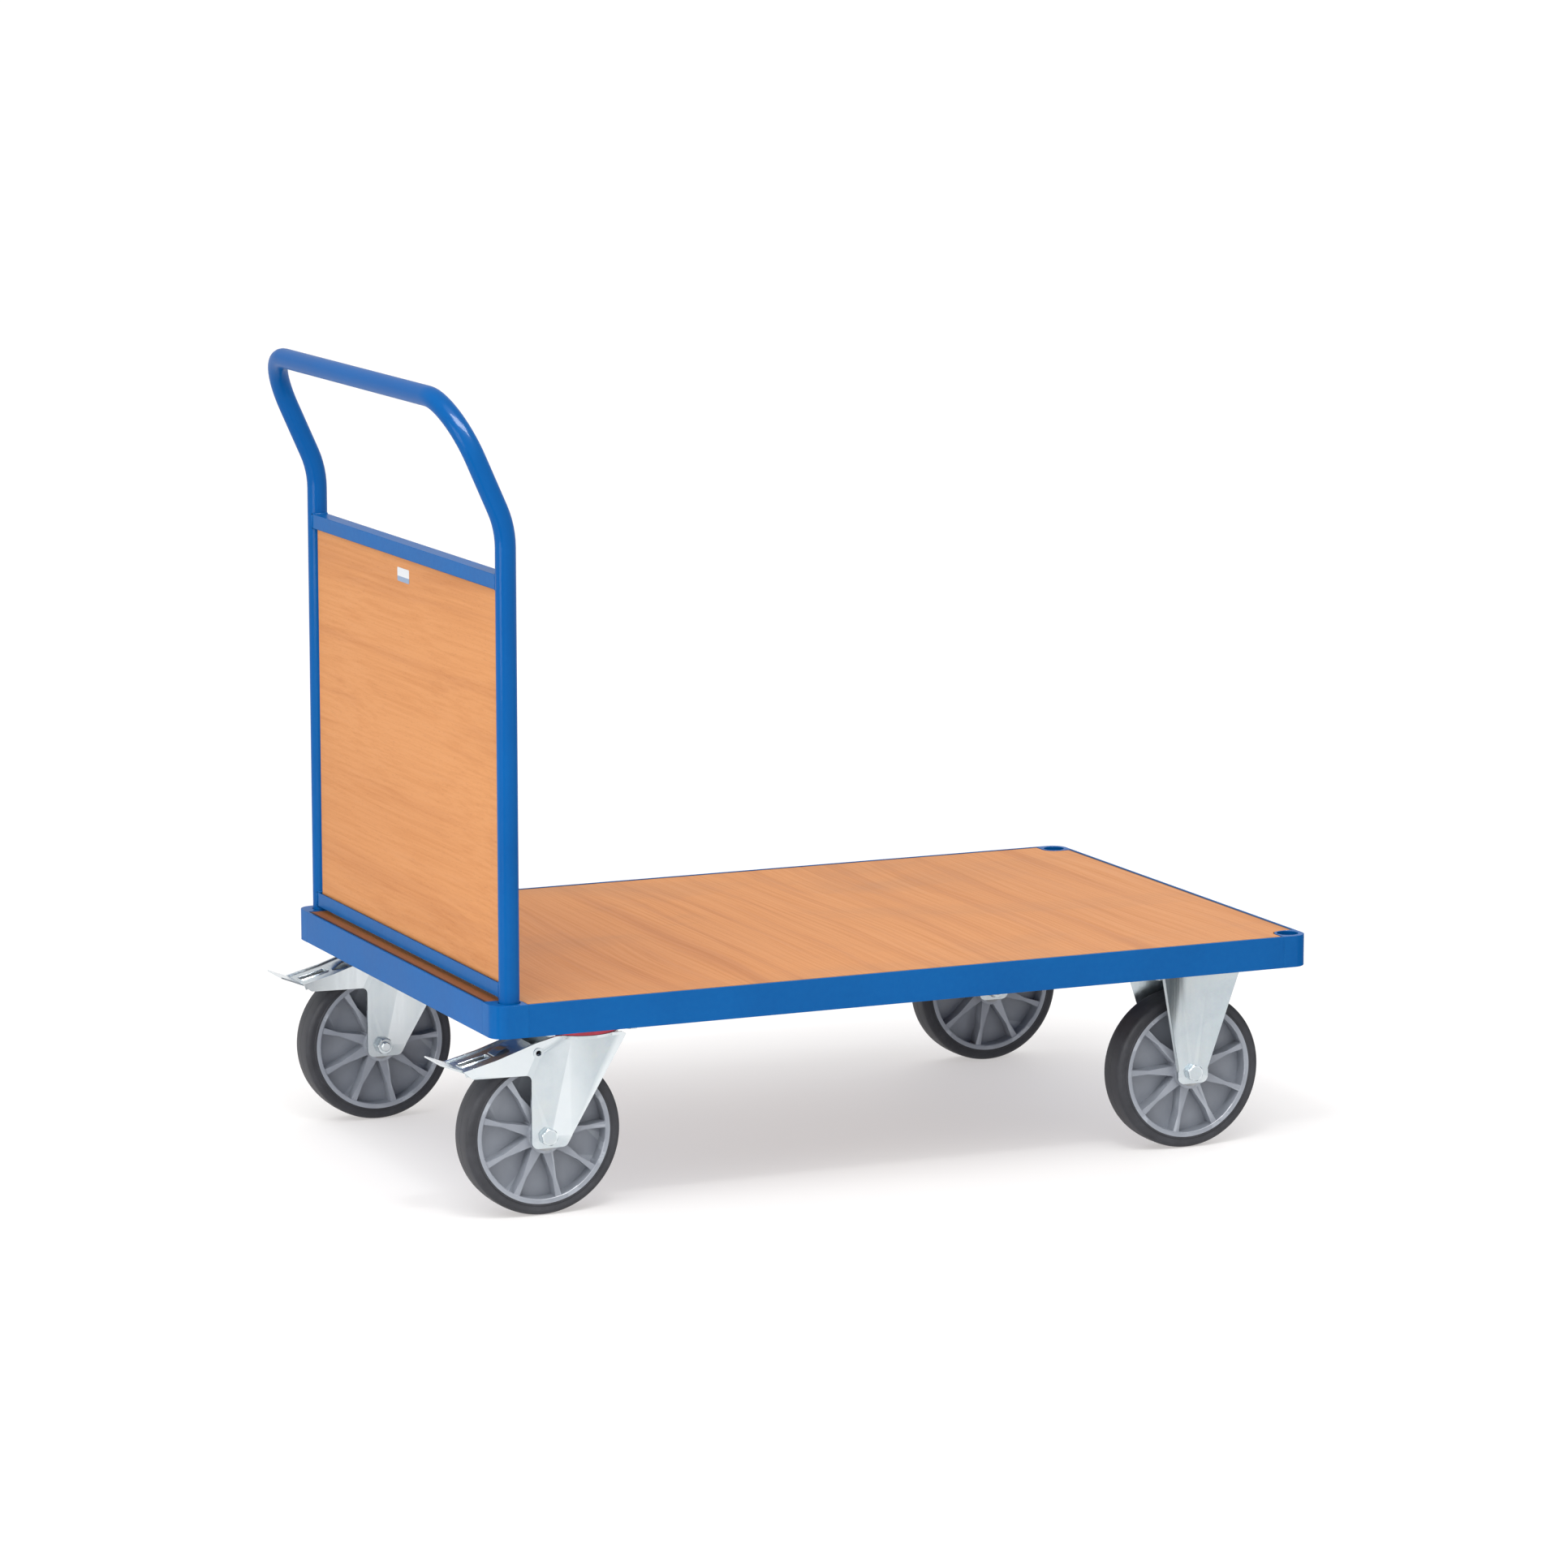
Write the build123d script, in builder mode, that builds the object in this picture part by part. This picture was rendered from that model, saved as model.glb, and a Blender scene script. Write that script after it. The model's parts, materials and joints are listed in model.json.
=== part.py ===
from build123d import *
import os
from math import cos, radians, sin, tan

# Flatbed platform truck, millimetres.
# +X points forward, away from the push handle; +Y is the left side; +Z is up and the floor is z = 0.
# The origin lies on the floor, under the middle of the overall length and width.

# ---------------------------------------------------------------- driving dimensions
# deck frame
DECK_LENGTH = 1100.0
DECK_WIDTH = 700.0
FRAME_HEIGHT = 40.0
FRAME_WALL = 3.0
CORNER_RADIUS = 20.0
LEDGE_WIDTH = 20.0
LEDGE_THICKNESS = 3.0
CROSS_TUBE_WIDTH = 30.0
CROSS_TUBE_HEIGHT = 15.0
CROSS_TUBE_WALL = 2.0
CASTER_BEAM_WIDTH = 160.0
CASTER_BEAM_THICKNESS = 3.0

# deck board
BOARD_THICKNESS = 15.0
BOARD_DROP = 0.5
BOARD_GAP = 1.2
BOARD_SCREW_SHARES = (0, 1 / 6, 1 / 2, 5 / 6, 1)
BOARD_SCREW_RADIUS = 2.0
BOARD_SCREW_HEAD_RADIUS = 4.0
BOARD_SCREW_HEAD_HEIGHT = 2.5
BOARD_SCREW_BITE = 9.0

# corner sockets
SOCKET_CLEARANCE = 1.0
SOCKET_WALL = 3.2
SOCKET_FLOOR = 3.0
SOCKET_DRAIN = 12.0
SOCKET_INSET_Y = 22.0
HANDLE_SOCKET_INSET_X = 28.0
FRONT_SOCKET_INSET_X = 20.0

# push handle
TUBE_DIAMETER = 25.0
TUBE_WALL = 2.0
LEAN_RISE = 568.5
LEAN_ANGLE = 24.0
LEAN_RADIUS = 113.0
GRIP_RISE = 718.5
GRIP_RADIUS = 75.0
CLAMP_SCREW_RADIUS = 4.0
CLAMP_SCREW_HEAD = 13.0
CLAMP_SCREW_HEAD_HEIGHT = 5.3
CLAMP_SCREW_DROP = 27.0
CLAMP_SCREW_GRIP = 6.0
CLAMP_SCREW_GAP = 0.2

# end wall
RAIL_HEIGHT = 18.0
RAIL_DEPTH = 20.0
RAIL_WALL = 2.0
UPPER_RAIL_RISE = 512.0
LOWER_RAIL_LIFT = 5.0
PANEL_THICKNESS = 12.0
PANEL_SIDE_GAP = 3.5
LABEL_WIDTH = 40.0
LABEL_HEIGHT = 17.0
LABEL_THICKNESS = 0.4
LABEL_DROP = 40.0

# wheels
WHEEL_DIAMETER = 200.0
WHEEL_WIDTH = 43.0
TREAD_THICKNESS = 14.5
TREAD_SHOULDER = 6.3
RIM_WALL = 6.0
RIM_ROUND = 1.5
WEB_THICKNESS = 6.0
HUB_RADIUS = 22.0
HUB_LENGTH = 57.0
RIB_COUNT = 9
REAR_RIB_PHASE = 3.5
FRONT_RIB_PHASE = 18.0
RIB_RECESS = 1.0
RIB_HUB_WIDTH = 13.0
RIB_NECK_WIDTH = 4.4
RIB_RIM_WIDTH = 8.0
BEARING_RADIUS = 12.0
BEARING_LENGTH = 59.4
RUNNING_CLEARANCE = 0.05

# caster brackets
CASTER_HEADROOM = 35.0
CASTER_RECESS = 5.0
CASTER_INSET_Y = 65.0
SWIVEL_INSET_X = 134.0
SWIVEL_TRAIL = 54.0
FRONT_AXLE_INSET_X = 147.0
TOP_PLATE_LENGTH = 140.0
TOP_PLATE_WIDTH = 110.0
TOP_PLATE_THICKNESS = 5.0
TOP_PLATE_CORNER = 8.0
BOLT_SPACING_X = 105.0
BOLT_SPACING_Y = 80.0
CASTER_BOLT_RADIUS = 4.0
CASTER_BOLT_HOLE = 4.4
CASTER_BOLT_HEAD = 13.0
CASTER_BOLT_HEAD_HEIGHT = 5.3
CASTER_NUT_HEIGHT = 6.8
CASTER_BOLT_STAND_OUT = 2.0
FORK_GAP = 60.0
FORK_PLATE = 4.0
LEG_HALF_WIDTH = 21.0
LEG_DROP = 14.5
LEG_ROUND = 9.0
AXLE_RADIUS = 6.0
AXLE_HOLE = 6.3
AXLE_HEX = 19.0
AXLE_HEAD_HEIGHT = 7.5
AXLE_NUT_HEIGHT = 10.0
AXLE_STAND_OUT = 3.0

# swivel head
CROWN_RADIUS = 48.0
CROWN_THICKNESS = 4.0
SWIVEL_GAP = 0.3
RACE_HEIGHT = 3.5
RACE_RADIUS = 45.0
RACE_BORE = 12.0
LOWER_RACE_RADIUS = 37.0
SEAL_HEIGHT = 5.0
SEAL_INNER_RADIUS = 37.4
SEAL_OUTER_RADIUS = 47.5
KINGPIN_RADIUS = 10.0
KINGPIN_HEAD_RADIUS = 16.0
KINGPIN_HEAD_HEIGHT = 8.0
CREASE_ANGLE = 6.0

# brake, measured from the wheel axle (x forward, z up)
ARM_REACH = 107.0
PEDAL_PIVOT_X = -11.5
PEDAL_PIVOT_LIFT = 3.0
PIVOT_RADIUS = 4.5
PIVOT_BORE = 3.3
PIVOT_RIM_RADIUS = 6.5
PIVOT_RIM_THICKNESS = 1.2
PEDAL_SIDE_GAP = 0.5
PEDAL_SHEET = 2.5
PEDAL_TRAVEL = 6.0
PEDAL_SLOT_INSET = 25.0
PEDAL_SLOT_LENGTH = 36.0
PEDAL_SLOT_WIDTH = 14.0
PEDAL_LIP_LENGTH = 27.0
PEDAL_LIP_RISE = 11.5
PEDAL_LIP_SHEET = 2.0
SHOE_X = -39.0
SHOE_LENGTH = 24.0
SHOE_WIDTH = 34.0
SHOE_THICKNESS = 8.0
SHOE_CLEARANCE = 1.5

# fixed bracket wings
WING_ANGLE = 32.0
WING_REACH = 40.0

# ---------------------------------------------------------------- derived places
TUBE_RADIUS = TUBE_DIAMETER / 2
WHEEL_RADIUS = WHEEL_DIAMETER / 2
CASTER_HEIGHT = WHEEL_DIAMETER + CASTER_HEADROOM
PEDAL_PIVOT_Z = WHEEL_RADIUS + PEDAL_PIVOT_LIFT
BORE_RADIUS = TUBE_RADIUS + SOCKET_CLEARANCE
SOCKET_RADIUS = BORE_RADIUS + SOCKET_WALL
GRIP_INSET_X = HANDLE_SOCKET_INSET_X - (GRIP_RISE - LEAN_RISE) * tan(radians(LEAN_ANGLE))
AXLE_INSET_X = SWIVEL_INSET_X - SWIVEL_TRAIL
HANDLE_OVERHANG = TUBE_RADIUS - GRIP_INSET_X
PEDAL_OVERHANG = ARM_REACH + PEDAL_LIP_LENGTH - AXLE_INSET_X
OVERHANG = max(HANDLE_OVERHANG, PEDAL_OVERHANG)

REAR_FACE_X = (OVERHANG - DECK_LENGTH) / 2
FRONT_FACE_X = REAR_FACE_X + DECK_LENGTH
HALF_WIDTH = DECK_WIDTH / 2
FRAME_BOTTOM = CASTER_HEIGHT - CASTER_RECESS
FRAME_TOP = FRAME_BOTTOM + FRAME_HEIGHT
BOARD_TOP = FRAME_TOP - BOARD_DROP
BOARD_BOTTOM = BOARD_TOP - BOARD_THICKNESS
LEDGE_BOTTOM = BOARD_BOTTOM - LEDGE_THICKNESS

UPPER_RAIL_TOP = FRAME_TOP + UPPER_RAIL_RISE
LEAN_HEIGHT = FRAME_TOP + LEAN_RISE
GRIP_HEIGHT = FRAME_TOP + GRIP_RISE
UPRIGHT_X = REAR_FACE_X + HANDLE_SOCKET_INSET_X
UPRIGHT_Y = HALF_WIDTH - SOCKET_INSET_Y
GRIP_X = REAR_FACE_X + GRIP_INSET_X
TUBE_FOOT = FRAME_BOTTOM + SOCKET_FLOOR
HANDLE_BLOCK_X = HANDLE_SOCKET_INSET_X + SOCKET_RADIUS
FRONT_BLOCK_X = FRONT_SOCKET_INSET_X + SOCKET_RADIUS
BLOCK_Y = SOCKET_INSET_Y + SOCKET_RADIUS

LOWER_RAIL_BOTTOM = FRAME_TOP + LOWER_RAIL_LIFT
PANEL_BOTTOM = LOWER_RAIL_BOTTOM + RAIL_WALL
PANEL_TOP = UPPER_RAIL_TOP - RAIL_WALL

RIM_RADIUS = WHEEL_RADIUS - TREAD_THICKNESS
CASTER_Y = HALF_WIDTH - CASTER_INSET_Y
SWIVEL_X = REAR_FACE_X + SWIVEL_INSET_X
REAR_AXLE_X = SWIVEL_X - SWIVEL_TRAIL
FRONT_AXLE_X = FRONT_FACE_X - FRONT_AXLE_INSET_X
PLATE_BOTTOM = CASTER_HEIGHT - TOP_PLATE_THICKNESS
RACE_BOTTOM = PLATE_BOTTOM - RACE_HEIGHT
CROWN_TOP = RACE_BOTTOM - SEAL_HEIGHT
CROWN_BOTTOM = CROWN_TOP - CROWN_THICKNESS
BEAM_TOP = CASTER_HEIGHT + CASTER_BEAM_THICKNESS
FORK_HALF_GAP = FORK_GAP / 2
FORK_OUTSIDE = FORK_HALF_GAP + FORK_PLATE
CROWN_TOP_ABOVE_AXLE = CROWN_TOP - WHEEL_RADIUS
PEDAL_HALF_WIDTH = FORK_HALF_GAP - PEDAL_SIDE_GAP
BOTH_SIDES = (("right", -1), ("left", 1))


def save(piece, name):
    """Labels a finished piece and writes it as one STEP file."""
    piece.part.label = name
    export_step(piece.part, f"parts/{name}.step")


def closed_face(points, mode=Mode.ADD):
    """Adds a straight-sided face to the sketch being drawn."""
    Polygon(*points, align=None, mode=mode)


def nearest_vertex(sketch, point):
    """The corner of a sketch that lies nearest to a point given in the sketch's own plane."""
    return sketch.vertices().sort_by_distance((point[0], point[1], 0))[0]


def hexagon(across_flats):
    """Adds a hexagon, sized across its flats, to the sketch being drawn."""
    RegularPolygon(radius=across_flats / 2, side_count=6, major_radius=False)


def upright_plane(x, y, z):
    """A plane facing -Y, whose x is +X and whose y is +Z."""
    return Plane(origin=(x, y, z), x_dir=(1, 0, 0), z_dir=(0, -1, 0))


def axle_plane(x, y):
    """A plane through a wheel's axle line: its x runs along the axle, its y is the radius."""
    return Plane(origin=(x, y, WHEEL_RADIUS), x_dir=(0, 1, 0), z_dir=(1, 0, 0))


# ---------------------------------------------------------------- deck frame
def rail_profile():
    """Rail section, inward and up: an upright skirt with a ledge that carries the board."""
    ledge = FRAME_WALL + LEDGE_WIDTH
    return [
        (0, FRAME_BOTTOM),
        (FRAME_WALL, FRAME_BOTTOM),
        (FRAME_WALL, LEDGE_BOTTOM),
        (ledge, LEDGE_BOTTOM),
        (ledge, BOARD_BOTTOM),
        (FRAME_WALL, BOARD_BOTTOM),
        (FRAME_WALL, FRAME_TOP),
        (0, FRAME_TOP),
    ]


def board_screw_places(side):
    """Centres of the board screws along one side ledge."""
    y = side * (HALF_WIDTH - FRAME_WALL - LEDGE_WIDTH / 2)
    caster_span = FRONT_AXLE_X - SWIVEL_X
    return [(SWIVEL_X + caster_span * share, y) for share in BOARD_SCREW_SHARES]


for side_name, side in BOTH_SIDES:
    start = REAR_FACE_X + HANDLE_BLOCK_X
    length = DECK_LENGTH - HANDLE_BLOCK_X - FRONT_BLOCK_X
    with BuildPart() as side_rail:
        with BuildSketch(Plane(origin=(start, 0, 0), x_dir=(0, 1, 0), z_dir=(1, 0, 0))):
            closed_face([(side * (HALF_WIDTH - inward), z) for inward, z in rail_profile()])
        extrude(amount=length)
        with BuildSketch(Plane.XY.offset(LEDGE_BOTTOM)):
            with Locations(*board_screw_places(side)):
                Circle(BOARD_SCREW_RADIUS)
        extrude(amount=LEDGE_THICKNESS, mode=Mode.SUBTRACT)
    save(side_rail, f"{side_name}_side_rail")

for end_name, face_x, inward_x in (("rear", REAR_FACE_X, 1), ("front", FRONT_FACE_X, -1)):
    with BuildPart() as end_rail:
        with BuildSketch(Plane.XZ.offset(-(HALF_WIDTH - BLOCK_Y))):
            closed_face([(face_x + inward_x * inward, z) for inward, z in rail_profile()])
        extrude(amount=DECK_WIDTH - 2 * BLOCK_Y)
    save(end_rail, f"{end_name}_end_rail")


def corner_outline(face_x, inward_x, side, reach_x, grow):
    """Corners of a corner block seen from above; the last one is its inner corner."""
    reach_x = reach_x + grow
    reach_y = BLOCK_Y + grow
    local = [(0, reach_y), (0, 0), (reach_x, 0), (reach_x, reach_y)]
    return [(face_x + inward_x * u, side * (HALF_WIDTH - v)) for u, v in local]


for side_name, side in BOTH_SIDES:
    for end_name, face_x, inward_x, inset_x, reach_x in (
        ("rear", REAR_FACE_X, 1, HANDLE_SOCKET_INSET_X, HANDLE_BLOCK_X),
        ("front", FRONT_FACE_X, -1, FRONT_SOCKET_INSET_X, FRONT_BLOCK_X),
    ):
        bore_x = face_x + inward_x * inset_x
        bore_y = side * UPRIGHT_Y
        with BuildPart() as corner_socket:
            corners = corner_outline(face_x, inward_x, side, reach_x, 0)
            with BuildSketch(Plane.XY.offset(FRAME_BOTTOM)) as outline:
                closed_face(corners)
                fillet(nearest_vertex(outline, corners[1]), CORNER_RADIUS)
                fillet(nearest_vertex(outline, corners[3]), SOCKET_RADIUS)
            extrude(amount=FRAME_HEIGHT)
            with BuildSketch(Plane.XY.offset(TUBE_FOOT)):
                with Locations((bore_x, bore_y)):
                    Circle(BORE_RADIUS)
            extrude(amount=FRAME_HEIGHT, mode=Mode.SUBTRACT)
            with BuildSketch(Plane.XY.offset(FRAME_BOTTOM)):
                with Locations((bore_x, bore_y)):
                    Circle(SOCKET_DRAIN / 2)
            extrude(amount=SOCKET_FLOOR, mode=Mode.SUBTRACT)
            if end_name == "rear":
                screw_z = FRAME_TOP - CLAMP_SCREW_DROP
                screw_plane = Plane(origin=(bore_x, bore_y, screw_z), z_dir=(0, -side, 0))
                with BuildSketch(screw_plane):
                    Circle(CLAMP_SCREW_RADIUS)
                extrude(amount=2 * SOCKET_RADIUS, mode=Mode.SUBTRACT)
        save(corner_socket, f"{end_name}_{side_name}_corner_socket")

# upward-opening channels that the casters bolt to, welded under the ledges
inside_width = DECK_WIDTH - 2 * FRAME_WALL
for beam_name, beam_x in (("rear", SWIVEL_X), ("front", FRONT_AXLE_X)):
    with BuildPart() as caster_beam:
        with BuildSketch(Plane.XZ.offset(-inside_width / 2)):
            with Locations((beam_x, (CASTER_HEIGHT + LEDGE_BOTTOM) / 2)):
                Rectangle(CASTER_BEAM_WIDTH, LEDGE_BOTTOM - CASTER_HEIGHT)
            with Locations((beam_x, (BEAM_TOP + LEDGE_BOTTOM) / 2)):
                Rectangle(
                    CASTER_BEAM_WIDTH - 2 * CASTER_BEAM_THICKNESS,
                    LEDGE_BOTTOM - BEAM_TOP,
                    mode=Mode.SUBTRACT,
                )
        extrude(amount=inside_width)
        with BuildSketch(Plane.XY.offset(CASTER_HEIGHT)):
            with Locations((beam_x, -CASTER_Y), (beam_x, CASTER_Y)):
                with GridLocations(BOLT_SPACING_X, BOLT_SPACING_Y, 2, 2):
                    Circle(CASTER_BOLT_HOLE)
        extrude(amount=CASTER_BEAM_THICKNESS, mode=Mode.SUBTRACT)
    save(caster_beam, f"{beam_name}_caster_beam")

# two rectangular tubes that stiffen the frame between the channels
tube_pitch = (FRONT_AXLE_X - SWIVEL_X) / 3
with BuildPart() as cross_tubes:
    with BuildSketch(Plane.XZ.offset(-inside_width / 2)):
        tube_z = LEDGE_BOTTOM - CROSS_TUBE_HEIGHT / 2
        with Locations((SWIVEL_X + tube_pitch, tube_z), (FRONT_AXLE_X - tube_pitch, tube_z)):
            Rectangle(CROSS_TUBE_WIDTH, CROSS_TUBE_HEIGHT)
            Rectangle(
                CROSS_TUBE_WIDTH - 2 * CROSS_TUBE_WALL,
                CROSS_TUBE_HEIGHT - 2 * CROSS_TUBE_WALL,
                mode=Mode.SUBTRACT,
            )
    extrude(amount=inside_width)
save(cross_tubes, "cross_tubes")

# ---------------------------------------------------------------- deck board
with BuildPart() as deck_board:
    with BuildSketch(Plane.XY.offset(BOARD_BOTTOM)) as board_outline:
        with Locations(((REAR_FACE_X + FRONT_FACE_X) / 2, 0)):
            Rectangle(
                DECK_LENGTH - 2 * (FRAME_WALL + BOARD_GAP),
                DECK_WIDTH - 2 * (FRAME_WALL + BOARD_GAP),
            )
        for side_name, side in BOTH_SIDES:
            for face_x, inward_x, reach_x in (
                (REAR_FACE_X, 1, HANDLE_BLOCK_X),
                (FRONT_FACE_X, -1, FRONT_BLOCK_X),
            ):
                notch = corner_outline(face_x, inward_x, side, reach_x, BOARD_GAP)
                closed_face(notch, mode=Mode.SUBTRACT)
                fillet(nearest_vertex(board_outline, notch[3]), SOCKET_RADIUS + BOARD_GAP)
    extrude(amount=BOARD_THICKNESS)
    with BuildSketch(Plane.XY.offset(BOARD_BOTTOM)):
        for side_name, side in BOTH_SIDES:
            with Locations(*board_screw_places(side)):
                Circle(BOARD_SCREW_RADIUS)
    extrude(amount=BOARD_SCREW_BITE, mode=Mode.SUBTRACT)
save(deck_board, "deck_board")

with BuildPart() as board_screws:
    with BuildSketch(Plane.XY.offset(LEDGE_BOTTOM - BOARD_SCREW_HEAD_HEIGHT)):
        for side_name, side in BOTH_SIDES:
            with Locations(*board_screw_places(side)):
                Circle(BOARD_SCREW_HEAD_RADIUS)
    extrude(amount=BOARD_SCREW_HEAD_HEIGHT)
    with BuildSketch(Plane.XY.offset(LEDGE_BOTTOM)):
        for side_name, side in BOTH_SIDES:
            with Locations(*board_screw_places(side)):
                Circle(BOARD_SCREW_RADIUS)
    extrude(amount=LEDGE_THICKNESS + BOARD_SCREW_BITE)
save(board_screws, "board_screws")

# ---------------------------------------------------------------- push handle and end wall
handle_route = [
    (UPRIGHT_X, -UPRIGHT_Y, TUBE_FOOT),
    (UPRIGHT_X, -UPRIGHT_Y, LEAN_HEIGHT),
    (GRIP_X, -UPRIGHT_Y, GRIP_HEIGHT),
    (GRIP_X, UPRIGHT_Y, GRIP_HEIGHT),
    (UPRIGHT_X, UPRIGHT_Y, LEAN_HEIGHT),
    (UPRIGHT_X, UPRIGHT_Y, TUBE_FOOT),
]
with BuildPart() as push_handle:
    with BuildLine() as handle_line:
        FilletPolyline(*handle_route, radius=[LEAN_RADIUS, GRIP_RADIUS, GRIP_RADIUS, LEAN_RADIUS])
    with BuildSketch(Plane(origin=handle_route[0], z_dir=(0, 0, 1))):
        Circle(TUBE_RADIUS)
        Circle(TUBE_RADIUS - TUBE_WALL, mode=Mode.SUBTRACT)
    sweep(path=handle_line.line)
save(push_handle, "push_handle")

with BuildPart() as clamp_screws:
    for side_name, side in BOTH_SIDES:
        tip_y = side * (UPRIGHT_Y - TUBE_RADIUS - CLAMP_SCREW_GAP)
        tip = Plane(origin=(UPRIGHT_X, tip_y, FRAME_TOP - CLAMP_SCREW_DROP), z_dir=(0, -side, 0))
        with BuildSketch(tip):
            Circle(CLAMP_SCREW_RADIUS)
        extrude(amount=CLAMP_SCREW_GRIP)
        with BuildSketch(tip.offset(CLAMP_SCREW_GRIP)):
            hexagon(CLAMP_SCREW_HEAD)
        extrude(amount=CLAMP_SCREW_HEAD_HEIGHT)
save(clamp_screws, "clamp_screws")

for rail_name, rail_bottom, groove_shift in (
    ("upper", UPPER_RAIL_TOP - RAIL_HEIGHT, -RAIL_WALL),
    ("lower", LOWER_RAIL_BOTTOM, RAIL_WALL),
):
    rail_z = rail_bottom + RAIL_HEIGHT / 2
    with BuildPart() as wall_rail:
        with BuildSketch(Plane.XZ.offset(-UPRIGHT_Y)):
            with Locations((UPRIGHT_X, rail_z)):
                Rectangle(RAIL_DEPTH, RAIL_HEIGHT)
            with Locations((UPRIGHT_X, rail_z + groove_shift)):
                Rectangle(RAIL_DEPTH - 2 * RAIL_WALL, RAIL_HEIGHT, mode=Mode.SUBTRACT)
        extrude(amount=2 * UPRIGHT_Y)
        with BuildSketch(Plane.XY.offset(rail_bottom)):
            with Locations((UPRIGHT_X, -UPRIGHT_Y), (UPRIGHT_X, UPRIGHT_Y)):
                Circle(TUBE_RADIUS)
        extrude(amount=RAIL_HEIGHT, mode=Mode.SUBTRACT)
    save(wall_rail, f"{rail_name}_rail")

with BuildPart() as end_panel:
    with BuildSketch(Plane.XY.offset(PANEL_BOTTOM)):
        with Locations((UPRIGHT_X, 0)):
            Rectangle(PANEL_THICKNESS, 2 * (UPRIGHT_Y - TUBE_RADIUS - PANEL_SIDE_GAP))
    extrude(amount=PANEL_TOP - PANEL_BOTTOM)
save(end_panel, "end_panel")

with BuildPart() as label_plate:
    label_plane = Plane(
        origin=(UPRIGHT_X - PANEL_THICKNESS / 2, 0, UPPER_RAIL_TOP - LABEL_DROP),
        x_dir=(0, -1, 0),
        z_dir=(-1, 0, 0),
    )
    with BuildSketch(label_plane):
        RectangleRounded(LABEL_WIDTH, LABEL_HEIGHT, 1.5)
    extrude(amount=LABEL_THICKNESS)
save(label_plate, "label_plate")


# ---------------------------------------------------------------- wheels
def make_wheel(prefix, axle_x, wheel_y, outward, rib_phase):
    """Tyre, wheel centre, roller bearing, axle bolt and nut of one wheel."""
    plane = axle_plane(axle_x, wheel_y)
    axle_line = Axis(origin=(axle_x, wheel_y, WHEEL_RADIUS), direction=(0, 1, 0))
    half_width = WHEEL_WIDTH / 2
    rim_inside = RIM_RADIUS - RIM_WALL

    with BuildPart() as tyre:
        with BuildSketch(plane) as section:
            with Locations((0, RIM_RADIUS + TREAD_THICKNESS / 2)):
                Rectangle(WHEEL_WIDTH, TREAD_THICKNESS)
            fillet(section.vertices().group_by(Axis.Y)[-1], TREAD_SHOULDER)
        revolve(axis=axle_line)
    save(tyre, f"{prefix}_tyre")

    with BuildPart() as wheel_centre:
        with BuildSketch(plane) as rim_section:
            with Locations((0, rim_inside + RIM_WALL / 2)):
                Rectangle(WHEEL_WIDTH, RIM_WALL)
            fillet(rim_section.vertices().group_by(Axis.Y)[0], RIM_ROUND)
        revolve(axis=axle_line)
        with BuildSketch(plane):
            with Locations((0, (BEARING_RADIUS + rim_inside + RIM_ROUND) / 2)):
                Rectangle(WEB_THICKNESS, rim_inside + RIM_ROUND - BEARING_RADIUS)
            with Locations((0, (BEARING_RADIUS + HUB_RADIUS) / 2)):
                Rectangle(HUB_LENGTH, HUB_RADIUS - BEARING_RADIUS)
        revolve(axis=axle_line)
        neck = (HUB_RADIUS + rim_inside) * 0.56
        rim_foot = rim_inside + RIM_ROUND
        hub_foot = HUB_RADIUS - RIM_ROUND
        rib = [
            (hub_foot, -RIB_HUB_WIDTH / 2),
            (neck, -RIB_NECK_WIDTH / 2),
            (rim_foot, -RIB_RIM_WIDTH / 2),
            (rim_foot, RIB_RIM_WIDTH / 2),
            (neck, RIB_NECK_WIDTH / 2),
            (hub_foot, RIB_HUB_WIDTH / 2),
        ]
        with BuildSketch(upright_plane(axle_x, wheel_y + half_width - RIB_RECESS, WHEEL_RADIUS)):
            with PolarLocations(0, RIB_COUNT, start_angle=rib_phase):
                closed_face(rib)
        extrude(amount=WHEEL_WIDTH - 2 * RIB_RECESS)
    save(wheel_centre, f"{prefix}_wheel_centre")

    with BuildPart() as roller_bearing:
        with BuildSketch(upright_plane(axle_x, wheel_y + BEARING_LENGTH / 2, WHEEL_RADIUS)):
            Circle(BEARING_RADIUS)
            Circle(AXLE_RADIUS + RUNNING_CLEARANCE, mode=Mode.SUBTRACT)
        extrude(amount=BEARING_LENGTH)
    save(roller_bearing, f"{prefix}_roller_bearing")

    head_face = upright_plane(axle_x, wheel_y + outward * FORK_OUTSIDE, WHEEL_RADIUS)
    shank = 2 * FORK_OUTSIDE + AXLE_NUT_HEIGHT + AXLE_STAND_OUT
    with BuildPart() as axle_bolt:
        with BuildSketch(head_face):
            hexagon(AXLE_HEX)
        extrude(amount=-outward * AXLE_HEAD_HEIGHT)
        with BuildSketch(head_face):
            Circle(AXLE_RADIUS)
        extrude(amount=outward * shank)
        round_edges = axle_bolt.edges().filter_by(GeomType.CIRCLE)
        chamfer(round_edges.sort_by(Axis.Y, reverse=outward < 0)[0], 1.0)
    save(axle_bolt, f"{prefix}_axle_bolt")

    with BuildPart() as axle_nut:
        with BuildSketch(upright_plane(axle_x, wheel_y - outward * FORK_OUTSIDE, WHEEL_RADIUS)):
            hexagon(AXLE_HEX)
            Circle(AXLE_RADIUS + RUNNING_CLEARANCE, mode=Mode.SUBTRACT)
        extrude(amount=outward * AXLE_NUT_HEIGHT)
    save(axle_nut, f"{prefix}_axle_nut")


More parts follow.
